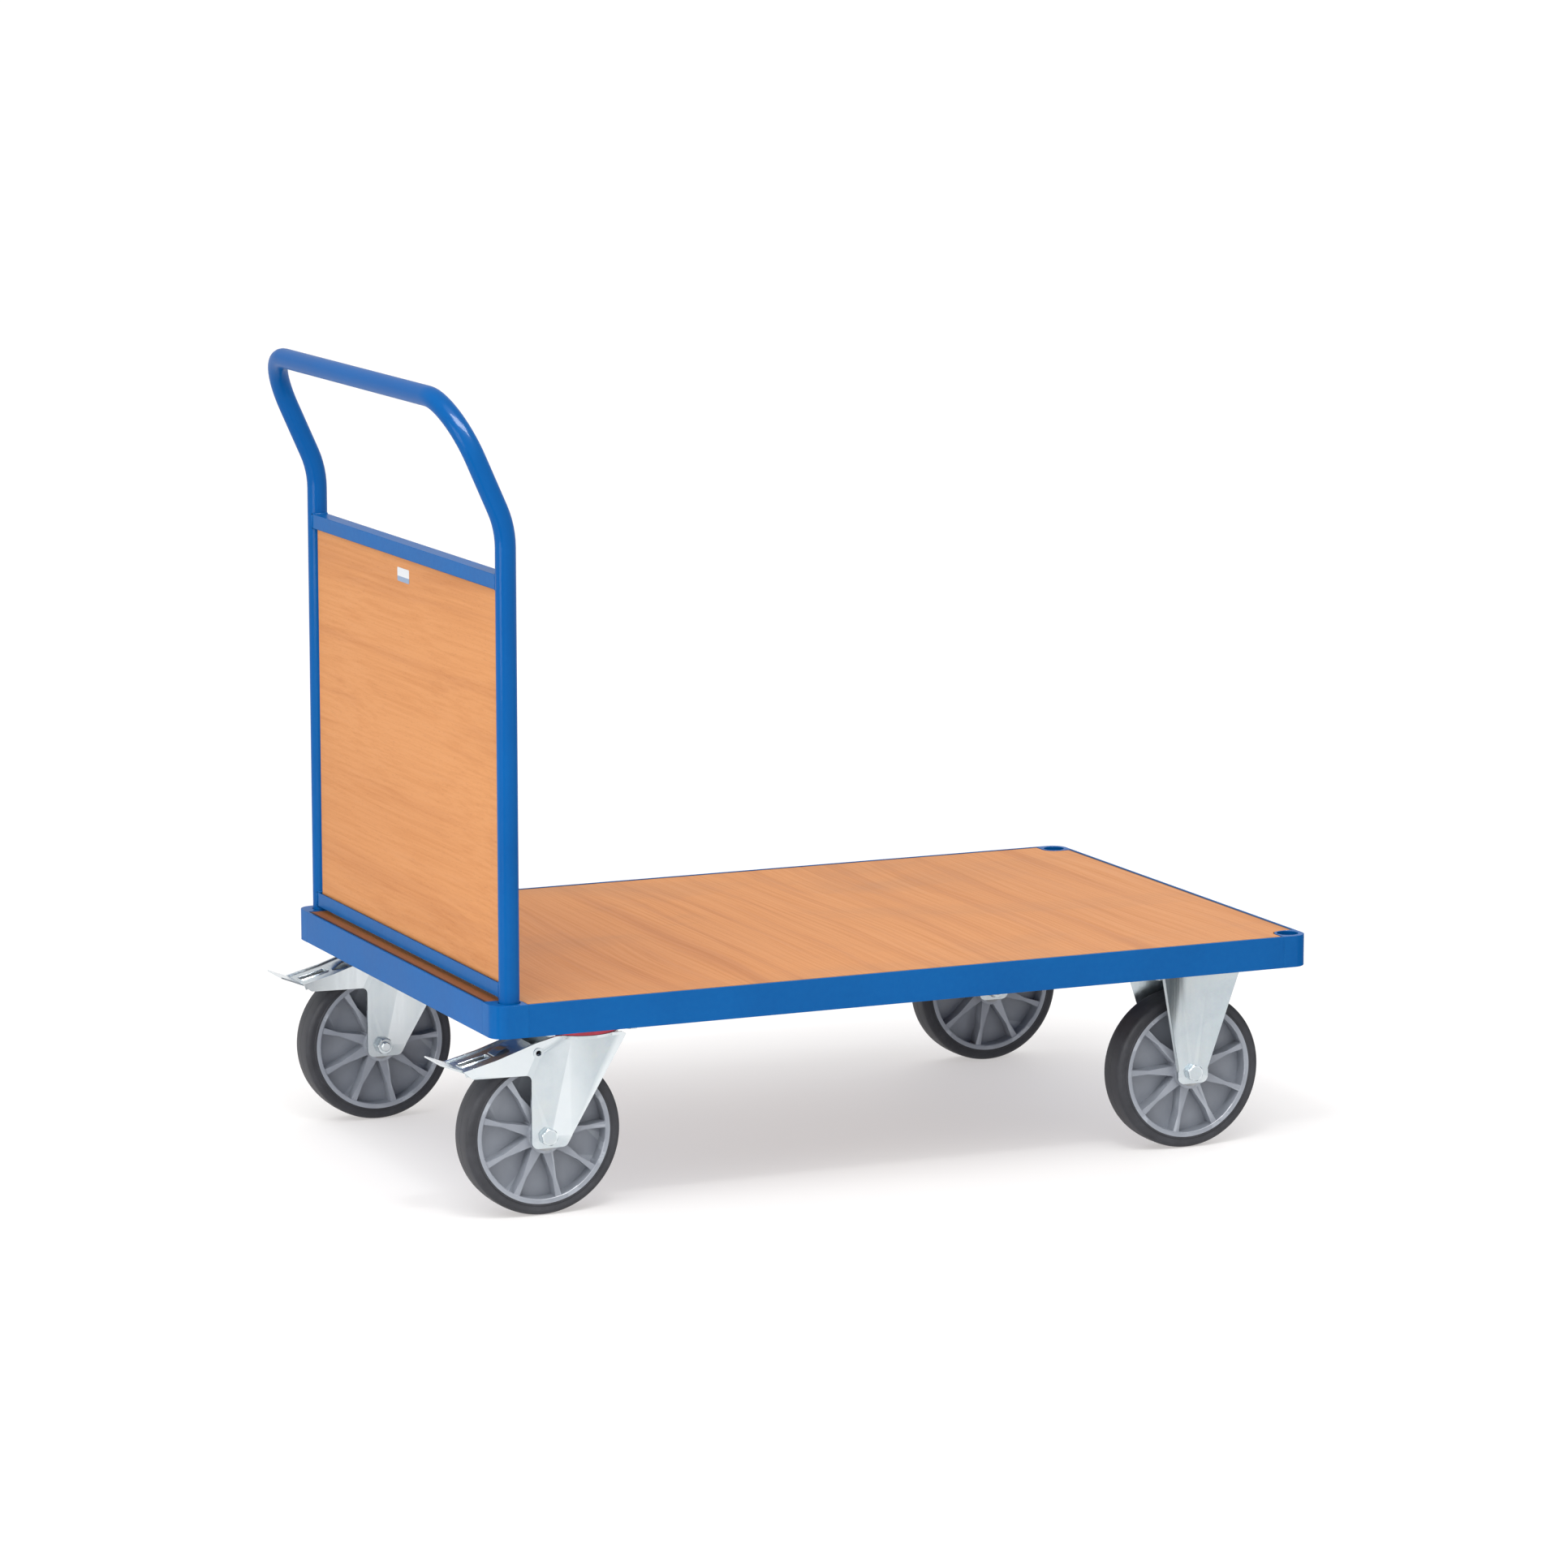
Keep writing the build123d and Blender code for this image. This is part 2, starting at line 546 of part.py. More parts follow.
# ---------------------------------------------------------------- brackets
def top_plate_sketch(x, y):
    """Rectangular caster plate with its four bolt holes, in the sketch being drawn."""
    with Locations((x, y)):
        RectangleRounded(TOP_PLATE_LENGTH, TOP_PLATE_WIDTH, TOP_PLATE_CORNER)
        with GridLocations(BOLT_SPACING_X, BOLT_SPACING_Y, 2, 2):
            Circle(CASTER_BOLT_HOLE, mode=Mode.SUBTRACT)


def bent_plane(x, y, outward, forward, angle):
    """A plane on a bracket leg's inner face, turned outward about an upright bend line.

    Its x runs away from the bend, its y is +Z, and it faces -Y.
    """
    turn = radians(angle)
    lean = outward * forward * sin(turn)
    return Plane(origin=(x, y, WHEEL_RADIUS), x_dir=(cos(turn), lean, 0), z_dir=(lean, -cos(turn), 0))


# side plate of the swivel fork, measured from the wheel axle (x forward, z up)
CREASE_X = 31.5
LEG_FRONT_FOOT = (24.0, -LEG_DROP)
LEG_REAR_X = -20.5
ARM_BOTTOM = WHEEL_RADIUS - 23.5
ARM_TIP_TOP = WHEEL_RADIUS - 12.0
SLANT_TOP_X = 100.0
SLANT_TOP_Z = CROWN_TOP_ABOVE_AXLE - 2.5


CREASE_SHARE = (CREASE_X - LEG_FRONT_FOOT[0]) / (SLANT_TOP_X - LEG_FRONT_FOOT[0])
CREASE_FOOT = (CREASE_X, -LEG_DROP + (SLANT_TOP_Z + LEG_DROP) * CREASE_SHARE)
NECK = (12.0, CROWN_TOP_ABOVE_AXLE)
ARM_TIP = (-ARM_REACH + 11.0, ARM_BOTTOM + 1.5)
ARMPIT = (LEG_REAR_X, ARM_BOTTOM)
FORK_OUTLINE = [
    (LEG_REAR_X, -LEG_DROP),
    LEG_FRONT_FOOT,
    CREASE_FOOT,
    (CREASE_X, CROWN_TOP_ABOVE_AXLE),
    NECK,
    (-15.0, WHEEL_RADIUS + 15.0),
    (-39.0, WHEEL_RADIUS + 7.0),
    (-65.0, WHEEL_RADIUS - 1.4),
    (-ARM_REACH, ARM_TIP_TOP),
    ARM_TIP,
    ARMPIT,
]
FRONT_REACH = SLANT_TOP_X - CREASE_X
FORK_FRONT_OUTLINE = [
    (0, CREASE_FOOT[1]),
    (FRONT_REACH, SLANT_TOP_Z),
    (FRONT_REACH - 5.0, CROWN_TOP_ABOVE_AXLE),
    (0, CROWN_TOP_ABOVE_AXLE),
]


def make_swivel_caster(prefix, wheel_y):
    """Top plate, race, seal, kingpin, fork, hollow brake rivets and pedal of one swivel caster."""
    with BuildPart() as top_plate:
        with BuildSketch(Plane.XY.offset(PLATE_BOTTOM)):
            top_plate_sketch(SWIVEL_X, wheel_y)
            with Locations((SWIVEL_X, wheel_y)):
                Circle(KINGPIN_RADIUS, mode=Mode.SUBTRACT)
        extrude(amount=TOP_PLATE_THICKNESS)
    save(top_plate, f"{prefix}_top_plate")

    with BuildPart() as swivel_race:
        with BuildSketch(Plane.XY.offset(RACE_BOTTOM)):
            with Locations((SWIVEL_X, wheel_y)):
                Circle(RACE_RADIUS)
                Circle(RACE_BORE, mode=Mode.SUBTRACT)
        extrude(amount=RACE_HEIGHT)
        with BuildSketch(Plane.XY.offset(CROWN_TOP + SWIVEL_GAP)):
            with Locations((SWIVEL_X, wheel_y)):
                Circle(LOWER_RACE_RADIUS)
                Circle(RACE_BORE, mode=Mode.SUBTRACT)
        extrude(amount=SEAL_HEIGHT - SWIVEL_GAP)
    save(swivel_race, f"{prefix}_swivel_race")

    with BuildPart() as seal_ring:
        with BuildSketch(Plane.XY.offset(CROWN_TOP + SWIVEL_GAP)):
            with Locations((SWIVEL_X, wheel_y)):
                Circle(SEAL_OUTER_RADIUS)
                Circle(SEAL_INNER_RADIUS, mode=Mode.SUBTRACT)
        extrude(amount=SEAL_HEIGHT - SWIVEL_GAP)
    save(seal_ring, f"{prefix}_seal_ring")

    head_top = CROWN_BOTTOM - SWIVEL_GAP
    with BuildPart() as kingpin:
        with BuildSketch(Plane.XY.offset(head_top - KINGPIN_HEAD_HEIGHT)):
            with Locations((SWIVEL_X, wheel_y)):
                Circle(KINGPIN_HEAD_RADIUS)
        extrude(amount=KINGPIN_HEAD_HEIGHT)
        chamfer(kingpin.edges().group_by(Axis.Z)[0], 2.0)
        with BuildSketch(Plane.XY.offset(head_top)):
            with Locations((SWIVEL_X, wheel_y)):
                Circle(KINGPIN_RADIUS)
        extrude(amount=CASTER_HEIGHT - head_top)
    save(kingpin, f"{prefix}_kingpin")

    with BuildPart() as fork:
        with BuildSketch(Plane.XY.offset(CROWN_BOTTOM)):
            with Locations((SWIVEL_X, wheel_y)):
                Circle(CROWN_RADIUS)
            with Locations((REAR_AXLE_X + (CREASE_X + 12.0) / 2, wheel_y)):
                Rectangle(CREASE_X - 12.0, 2 * FORK_OUTSIDE)
            with Locations((SWIVEL_X, wheel_y)):
                Circle(KINGPIN_RADIUS + RUNNING_CLEARANCE, mode=Mode.SUBTRACT)
        extrude(amount=CROWN_THICKNESS)
        for outward in (-1, 1):
            inner_y = wheel_y + outward * FORK_HALF_GAP
            with BuildSketch(upright_plane(REAR_AXLE_X, inner_y, WHEEL_RADIUS)) as side_plate:
                closed_face(FORK_OUTLINE)
                fillet(nearest_vertex(side_plate, FORK_OUTLINE[0]), LEG_ROUND)
                fillet(nearest_vertex(side_plate, LEG_FRONT_FOOT), LEG_ROUND)
                fillet(nearest_vertex(side_plate, ARMPIT), 7.0)
                fillet(nearest_vertex(side_plate, ARM_TIP), 7.0)
                Circle(AXLE_HOLE, mode=Mode.SUBTRACT)
                with Locations((PEDAL_PIVOT_X, PEDAL_PIVOT_Z)):
                    Circle(PIVOT_RADIUS, mode=Mode.SUBTRACT)
            extrude(amount=-outward * FORK_PLATE)
            crease_plane = bent_plane(REAR_AXLE_X + CREASE_X, inner_y, outward, 1, CREASE_ANGLE)
            with BuildSketch(crease_plane):
                closed_face(FORK_FRONT_OUTLINE)
            extrude(amount=-outward * FORK_PLATE)
    save(fork, f"{prefix}_fork")

    rivet_inside = PEDAL_HALF_WIDTH - PEDAL_SHEET
    with BuildPart() as brake_pivot:
        for outward in (-1, 1):
            for start_y, radius, reach in (
                (rivet_inside, PIVOT_RADIUS, FORK_OUTSIDE - rivet_inside),
                (FORK_OUTSIDE, PIVOT_RIM_RADIUS, PIVOT_RIM_THICKNESS),
            ):
                rivet_plane = upright_plane(
                    REAR_AXLE_X + PEDAL_PIVOT_X,
                    wheel_y + outward * start_y,
                    WHEEL_RADIUS + PEDAL_PIVOT_Z,
                )
                with BuildSketch(rivet_plane):
                    Circle(radius)
                    Circle(PIVOT_BORE, mode=Mode.SUBTRACT)
                extrude(amount=-outward * reach)
    save(brake_pivot, f"{prefix}_brake_pivot")

    make_brake_pedal(prefix, wheel_y)


def make_brake_pedal(prefix, wheel_y):
    """Foot plate with its slot, two cheeks on the pivot, an upturned lip and the brake shoe."""
    middle = upright_plane(REAR_AXLE_X, wheel_y, WHEEL_RADIUS)
    foot_top = [
        (-ARM_REACH + 3.0, WHEEL_RADIUS - 12.8),
        (-65.0, WHEEL_RADIUS - 3.0),
        (-39.0, WHEEL_RADIUS + 5.4),
        (-16.0, WHEEL_RADIUS + 12.4),
    ]
    foot_under = [(x, z - PEDAL_SHEET) for x, z in reversed(foot_top)]
    pivot = Vector(PEDAL_PIVOT_X, PEDAL_PIVOT_Z, 0)
    # the shoe is concentric with the tyre when the pedal is down, so at rest its centre is turned up
    shoe_centre = pivot + Vector(-PEDAL_PIVOT_X, -PEDAL_PIVOT_Z, 0).rotate(Axis.Z, -PEDAL_TRAVEL)
    shoe_inside = WHEEL_RADIUS + SHOE_CLEARANCE
    with BuildPart() as brake_pedal:
        with BuildSketch(middle):
            closed_face(foot_top + foot_under)
        extrude(amount=PEDAL_HALF_WIDTH, both=True)
        with BuildSketch(Plane.XY.offset(WHEEL_RADIUS)):
            with Locations((REAR_AXLE_X - ARM_REACH + PEDAL_SLOT_INSET, wheel_y)):
                RectangleRounded(PEDAL_SLOT_LENGTH, PEDAL_SLOT_WIDTH, 2.0)
        extrude(amount=WHEEL_RADIUS, mode=Mode.SUBTRACT)
        cheek = foot_top + [
            (-4.0, WHEEL_RADIUS + 8.0),
            (-4.0, WHEEL_RADIUS + 1.0),
            (-16.0, WHEEL_RADIUS - 1.5),
            (-60.0, WHEEL_RADIUS - 12.0),
            (-ARM_REACH + 5.0, WHEEL_RADIUS - 20.0),
        ]
        for outward in (-1, 1):
            cheek_plane = upright_plane(REAR_AXLE_X, wheel_y + outward * PEDAL_HALF_WIDTH, WHEEL_RADIUS)
            with BuildSketch(cheek_plane):
                closed_face(cheek)
                with Locations((PEDAL_PIVOT_X, PEDAL_PIVOT_Z)):
                    Circle(PIVOT_RADIUS + 3.5)
                    Circle(PIVOT_RADIUS + RUNNING_CLEARANCE, mode=Mode.SUBTRACT)
            extrude(amount=outward * PEDAL_SHEET)
        with BuildSketch(middle):
            lip_x, lip_z = foot_top[0]
            lip_under = lip_z - PEDAL_SHEET
            lip_tip_x = -ARM_REACH - PEDAL_LIP_LENGTH
            lip_tip_z = lip_z + PEDAL_LIP_RISE
            closed_face(
                [
                    (lip_x + PEDAL_SHEET, lip_under),
                    (lip_x + PEDAL_SHEET, lip_z),
                    (lip_x, lip_z),
                    (lip_tip_x, lip_tip_z),
                    (lip_tip_x, lip_tip_z - PEDAL_LIP_SHEET),
                    (lip_x, lip_under),
                ]
            )
        extrude(amount=PEDAL_HALF_WIDTH - PEDAL_SHEET, both=True)
        with BuildSketch(middle):
            with Locations((shoe_centre.X, shoe_centre.Y)):
                Circle(shoe_inside + SHOE_THICKNESS)
                Circle(shoe_inside, mode=Mode.SUBTRACT)
            with Locations((SHOE_X, WHEEL_RADIUS - 8.0)):
                Rectangle(SHOE_LENGTH, 40.0, mode=Mode.INTERSECT)
        extrude(amount=SHOE_WIDTH / 2, both=True)
    save(brake_pedal, f"{prefix}_brake_pedal")


def make_fixed_bracket(prefix, wheel_y):
    """Pressed bracket: a bolted plate and two legs whose front and rear edges flare outward."""
    leg_top = PLATE_BOTTOM - WHEEL_RADIUS
    with BuildPart() as bracket:
        with BuildSketch(Plane.XY.offset(PLATE_BOTTOM)):
            top_plate_sketch(FRONT_AXLE_X, wheel_y)
        extrude(amount=TOP_PLATE_THICKNESS)
        for outward in (-1, 1):
            inner_y = wheel_y + outward * FORK_HALF_GAP
            with BuildSketch(upright_plane(FRONT_AXLE_X, inner_y, WHEEL_RADIUS)) as leg:
                closed_face(
                    [
                        (-LEG_HALF_WIDTH, -LEG_DROP),
                        (LEG_HALF_WIDTH, -LEG_DROP),
                        (LEG_HALF_WIDTH, leg_top),
                        (-LEG_HALF_WIDTH, leg_top),
                    ]
                )
                fillet(leg.vertices().group_by(Axis.Y)[0], LEG_ROUND)
                Circle(AXLE_HOLE, mode=Mode.SUBTRACT)
            extrude(amount=-outward * FORK_PLATE)
            for forward in (-1, 1):
                bend_x = FRONT_AXLE_X + forward * LEG_HALF_WIDTH
                with BuildSketch(bent_plane(bend_x, inner_y, outward, forward, WING_ANGLE)):
                    closed_face([(0, -2.0), (forward * WING_REACH, leg_top), (0, leg_top)])
                extrude(amount=-outward * FORK_PLATE)
    save(bracket, f"{prefix}_bracket")


for side_name, side in BOTH_SIDES:
    make_wheel(f"rear_{side_name}", REAR_AXLE_X, side * CASTER_Y, side, REAR_RIB_PHASE)
    make_swivel_caster(f"rear_{side_name}", side * CASTER_Y)
    make_wheel(f"front_{side_name}", FRONT_AXLE_X, side * CASTER_Y, side, FRONT_RIB_PHASE)
    make_fixed_bracket(f"front_{side_name}", side * CASTER_Y)

# ---------------------------------------------------------------- caster bolts and nuts
caster_centres = [(x, side * CASTER_Y) for x in (SWIVEL_X, FRONT_AXLE_X) for _, side in BOTH_SIDES]
bolt_end = BEAM_TOP + CASTER_NUT_HEIGHT + CASTER_BOLT_STAND_OUT
with BuildPart() as caster_bolts:
    with BuildSketch(Plane.XY.offset(PLATE_BOTTOM - CASTER_BOLT_HEAD_HEIGHT)):
        with Locations(*caster_centres):
            with GridLocations(BOLT_SPACING_X, BOLT_SPACING_Y, 2, 2):
                hexagon(CASTER_BOLT_HEAD)
    extrude(amount=CASTER_BOLT_HEAD_HEIGHT)
    with BuildSketch(Plane.XY.offset(PLATE_BOTTOM)):
        with Locations(*caster_centres):
            with GridLocations(BOLT_SPACING_X, BOLT_SPACING_Y, 2, 2):
                Circle(CASTER_BOLT_RADIUS)
    extrude(amount=bolt_end - PLATE_BOTTOM)
save(caster_bolts, "caster_bolts")

with BuildPart() as caster_nuts:
    with BuildSketch(Plane.XY.offset(BEAM_TOP)):
        with Locations(*caster_centres):
            with GridLocations(BOLT_SPACING_X, BOLT_SPACING_Y, 2, 2):
                hexagon(CASTER_BOLT_HEAD)
                Circle(CASTER_BOLT_RADIUS + RUNNING_CLEARANCE, mode=Mode.SUBTRACT)
    extrude(amount=CASTER_NUT_HEIGHT)
save(caster_nuts, "caster_nuts")
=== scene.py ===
import bpy
import bmesh
import json
import math
from mathutils import Matrix, Vector


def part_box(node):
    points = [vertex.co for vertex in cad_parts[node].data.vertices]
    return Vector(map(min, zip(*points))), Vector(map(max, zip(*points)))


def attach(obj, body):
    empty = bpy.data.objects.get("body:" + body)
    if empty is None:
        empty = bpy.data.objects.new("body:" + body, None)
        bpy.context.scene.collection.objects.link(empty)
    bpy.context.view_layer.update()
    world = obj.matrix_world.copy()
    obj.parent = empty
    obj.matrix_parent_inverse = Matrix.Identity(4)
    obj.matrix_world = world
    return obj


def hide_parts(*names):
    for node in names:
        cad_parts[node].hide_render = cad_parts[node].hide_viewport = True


# Flatbed platform truck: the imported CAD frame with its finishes, small formed pieces and studio.
# +X points away from the push handle, +Y to the left, +Z up. Lengths are in metres.

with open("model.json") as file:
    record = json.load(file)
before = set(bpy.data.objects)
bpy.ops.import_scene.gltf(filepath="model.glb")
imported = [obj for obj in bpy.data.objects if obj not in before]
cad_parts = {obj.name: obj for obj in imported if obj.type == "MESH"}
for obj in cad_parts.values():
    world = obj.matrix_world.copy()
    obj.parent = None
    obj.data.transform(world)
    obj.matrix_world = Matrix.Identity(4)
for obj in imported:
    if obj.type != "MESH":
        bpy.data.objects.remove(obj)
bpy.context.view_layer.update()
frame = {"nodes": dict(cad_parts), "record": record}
NODES = frame["nodes"]
SIDES = (("right", -1), ("left", 1))
MM = 0.001
TURN = 2 * math.pi


# ---------------------------------------------------------------- places taken from the frame
def middle(node):
    """Centre of a CAD node's box."""
    low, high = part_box(node)
    return (low + high) / 2


def span(node):
    """Size of a CAD node's box."""
    low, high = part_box(node)
    return high - low


# ---------------------------------------------------------------- material helpers
NOISE_MIDDLE = (0.3, 0.7)
WORN_FROM = (0.505, 0.56)
RISE = (0.0, 1.0)
FALL = (1.0, 0.0)


def srgb(red, green, blue):
    """A colour given in screen values from 0 to 255, as linear values."""
    def one(value):
        value /= 255
        return value / 12.92 if value <= 0.04045 else ((value + 0.055) / 1.055) ** 2.4
    return (one(red), one(green), one(blue), 1.0)


class Shade:
    """A material under construction: each call adds one node and returns its output."""

    def __init__(self, name):
        self.material = bpy.data.materials.new(name)
        self.material.use_nodes = True
        self.tree = self.material.node_tree
        self.tree.nodes.clear()
        self.surface = self.tree.nodes.new("ShaderNodeBsdfPrincipled")
        output = self.tree.nodes.new("ShaderNodeOutputMaterial")
        self.tree.links.new(self.surface.outputs["BSDF"], output.inputs["Surface"])
        self.place = self.tree.nodes.new("ShaderNodeTexCoord").outputs["Object"]

    def add(self, kind, inputs, **settings):
        node = self.tree.nodes.new("ShaderNode" + kind)
        for key, value in settings.items():
            setattr(node, key, value)
        for key, value in inputs.items():
            self.put(node.inputs[key], value)
        return node

    def put(self, socket, value):
        if isinstance(value, bpy.types.NodeSocket):
            self.tree.links.new(value, socket)
        else:
            socket.default_value = value

    def set(self, **values):
        """Sets the surface's sockets, whose spaces are written as underscores."""
        for key, value in values.items():
            self.put(self.surface.inputs[key.replace("_", " ")], value)

    def stretch(self, scale, turn=(0, 0, 0), source=None):
        """Texture coordinates scaled per axis."""
        mapping = self.add("Mapping", {"Vector": source or self.place, "Scale": scale, "Rotation": turn})
        return mapping.outputs["Vector"]

    def shift(self, vector, step):
        return self.add("VectorMath", {0: vector, 1: step}, operation="ADD").outputs["Vector"]

    def along(self, axis):
        """The place's coordinate on one axis."""
        return self.add("SeparateXYZ", {"Vector": self.place}).outputs[axis]

    def noise(self, vector, scale=1.0, detail=3.0, rough=0.55, distortion=0.0):
        inputs = {"Vector": vector, "Scale": scale, "Detail": detail}
        inputs.update({"Roughness": rough, "Distortion": distortion})
        return self.add("TexNoise", inputs).outputs["Fac"]

    def ramp(self, value, stops):
        node = self.add("ValToRGB", {"Fac": value})
        ramp = node.color_ramp
        while len(ramp.elements) < len(stops):
            ramp.elements.new(0.5)
        for element, (place, colour) in zip(ramp.elements, stops):
            element.position = place
            element.color = colour
        return node.outputs["Color"]

    def level(self, value, source, target):
        """value mapped from the range source to the range target, and held at its ends."""
        inputs = {"Value": value, "From Min": source[0], "From Max": source[1]}
        inputs.update({"To Min": target[0], "To Max": target[1]})
        return self.add("MapRange", inputs).outputs["Result"]

    def math(self, operation, first, second):
        return self.add("Math", {0: first, 1: second}, operation=operation).outputs["Value"]

    def mix(self, share, first, second):
        node = self.tree.nodes.new("ShaderNodeMix")
        node.data_type = "RGBA"
        shares, firsts, seconds = node.inputs[0], node.inputs[6], node.inputs[7]
        self.put(shares, share)
        self.put(firsts, first)
        self.put(seconds, second)
        return node.outputs[2]

    def tint(self, tone, colour, mask, most):
        """tone with colour laid over it where mask is, up to the share most."""
        return self.mix(self.math("MULTIPLY", mask, most), tone, colour)

    def speckle(self, tone, colour, value, source, most):
        """tone with colour laid over it as value runs through the range source."""
        return self.mix(self.level(value, source, (0.0, most)), tone, colour)

    def bump(self, height, strength, distance, under=None):
        inputs = {"Height": height, "Strength": strength, "Distance": distance}
        if under is not None:
            inputs["Normal"] = under
        return self.add("Bump", inputs).outputs["Normal"]

    def worn_edge(self):
        """1 along convex edges and 0 elsewhere."""
        point = self.tree.nodes.new("ShaderNodeNewGeometry").outputs["Pointiness"]
        return self.level(point, WORN_FROM, RISE)


# ---------------------------------------------------------------- materials
def blue_paint():
    """Powder coat: an even blue with fine orange peel and a slight drift in tone."""
    s = Shade("blue powder coat")
    drift = s.noise(s.place, scale=6.0, detail=4.0)
    tone = s.ramp(drift, [(0.30, srgb(0, 75, 139)), (0.70, srgb(0, 82, 148))])
    rub = s.math("MULTIPLY", s.worn_edge(), s.noise(s.place, scale=140.0, detail=4.0))
    peel = s.noise(s.place, scale=850.0, detail=2.0)
    fleck = s.noise(s.place, scale=2600.0, detail=2.0)
    s.set(
        Base_Color=s.tint(tone, srgb(30, 116, 176), rub, most=0.30),
        Roughness=s.level(drift, NOISE_MIDDLE, (0.34, 0.44)),
        Specular_IOR_Level=0.03,
        Coat_Weight=0.14,
        Coat_Roughness=0.11,
        Normal=s.bump(fleck, 0.05, 0.2 * MM, under=s.bump(peel, 0.08, 0.4 * MM)),
    )
    return s.material


def board_gap_shade(s, node):
    """1 within the painted gap shadow round a board's edge and 0 inside it, by its length and width."""
    gap_shade_width = (2.2 * MM, 3.2 * MM)
    low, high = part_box(node)
    nearest = None
    for axis, start, end in (("X", low.x, high.x), ("Y", low.y, high.y)):
        place = s.along(axis)
        for inward in (s.math("SUBTRACT", place, start), s.math("SUBTRACT", end, place)):
            nearest = inward if nearest is None else s.math("MINIMUM", nearest, inward)
    return s.level(nearest, gap_shade_width, FALL)


def painted_wall_shadow(s):
    """1 on the strip of deck outside the end wall, where the wall's and its rail's shadow is painted dark.
    """
    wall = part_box("end_panel")[0].x
    return s.level(s.along("X"), (wall - 4 * MM, wall + 6 * MM), FALL)


def painted_underside_shade(s):
    """1 on the lower face of the deck board, which is painted dark as shade."""
    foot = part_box("deck_board")[0].z
    return s.level(s.along("Z"), (foot + 2 * MM, foot + 4 * MM), FALL)


def beech(name, light, dark, start, deck=False):
    """Lacquered beech face, cut from the grain at start: drifting bands, fine pores and ray flecks."""
    s = Shade(name)
    across_the_truck = (0, 0, math.radians(90))
    shifted = s.shift(s.stretch((1, 1, 1), across_the_truck), start)
    bend = s.noise(s.stretch((0.9, 3.2, 3.2), source=shifted), detail=2.0)
    bent = s.add("CombineXYZ", {"Y": s.level(bend, RISE, (-0.06, 0.06))}).outputs["Vector"]
    flow = s.shift(shifted, bent)
    bands = s.noise(s.stretch((0.8, 26.0, 26.0), source=flow), detail=5.0, rough=0.62, distortion=0.12)
    veneer = s.noise(s.stretch((0.5, 5.0, 5.0), source=flow), detail=2.0)
    lines = s.noise(s.stretch((3.0, 230.0, 230.0), source=flow), detail=4.0, rough=0.6)
    pores = s.noise(s.stretch((60.0, 900.0, 900.0), source=shifted), detail=2.0)
    flecks = s.noise(s.stretch((190.0, 620.0, 620.0), source=shifted), detail=1.0)
    tone = s.ramp(bands, [(0.32, dark), (0.50, light), (0.68, light)])
    tone = s.speckle(tone, dark, veneer, (0.35, 0.68), most=0.32)
    tone = s.speckle(tone, srgb(158, 96, 56), lines, (0.44, 0.70), most=0.22)
    tone = s.speckle(tone, srgb(142, 84, 48), flecks, (0.60, 0.78), most=0.20)
    tone = s.speckle(tone, srgb(122, 72, 40), pores, (0.62, 0.80), most=0.28)
    if deck:
        scuffs = s.noise(s.stretch((2.2, 5.0, 5.0)), detail=6.0, rough=0.62, distortion=0.5)
        tone = s.speckle(tone, srgb(150, 108, 78), scuffs, (0.50, 0.74), most=0.34)
        # painted shadow of the end wall and its rail on the deck strip outside the wall
        tone = s.tint(tone, srgb(104, 52, 26), painted_wall_shadow(s), most=0.66)
        # painted shade on the lower face of the deck board
        tone = s.tint(tone, srgb(88, 62, 46), painted_underside_shade(s), most=0.80)
        # painted gap shadow along the deck board's edges, near black brown
        tone = s.tint(tone, srgb(46, 34, 28), board_gap_shade(s, "deck_board"), most=0.85)
    grain = s.math("ADD", s.math("MULTIPLY", pores, 0.7), s.math("MULTIPLY", lines, 0.5))
    s.set(
        Base_Color=tone,
        Roughness=s.level(lines, NOISE_MIDDLE, (0.42, 0.56)),
        Specular_IOR_Level=0.12,
        Normal=s.bump(grain, 0.10, 0.4 * MM),
    )
    return s.material


def zinc():
    """Bright zinc plating: pale, faintly clouded, with fine rolling streaks and a soft sheen."""
    s = Shade("bright zinc plating")
    cloud = s.noise(s.place, scale=26.0, detail=5.0, rough=0.6, distortion=0.4)
    streak = s.noise(s.stretch((240.0, 240.0, 14.0)))
    spangle = s.add("TexVoronoi", {"Vector": s.place, "Scale": 420.0}).outputs["Color"]
    spangle_share = 0.015
    dull, mid, pale = srgb(173, 183, 189), srgb(182, 191, 196), srgb(188, 194, 195)
    tone = s.mix(spangle_share, s.ramp(cloud, [(0.28, dull), (0.52, mid), (0.76, pale)]), spangle)
    s.set(
        Base_Color=s.tint(tone, srgb(236, 241, 243), s.worn_edge(), most=0.5),
        Metallic=0.92,
        Roughness=s.level(streak, NOISE_MIDDLE, (0.17, 0.25)),
        Normal=s.bump(streak, 0.012, 0.3 * MM),
    )
    return s.material


def bearing_steel():
    """Ground steel of the roller bearings, with turned rings and a film of oil."""
    s = Shade("bearing steel")
    turned_rings = s.noise(s.stretch((40.0, 900.0, 40.0)))
    s.set(
        Base_Color=s.ramp(turned_rings, [(0.35, srgb(120, 122, 124)), (0.65, srgb(168, 170, 172))]),
        Metallic=0.9,
        Roughness=0.30,
        Coat_Weight=0.2,
        Normal=s.bump(turned_rings, 0.12, 0.3 * MM),
    )
    return s.material


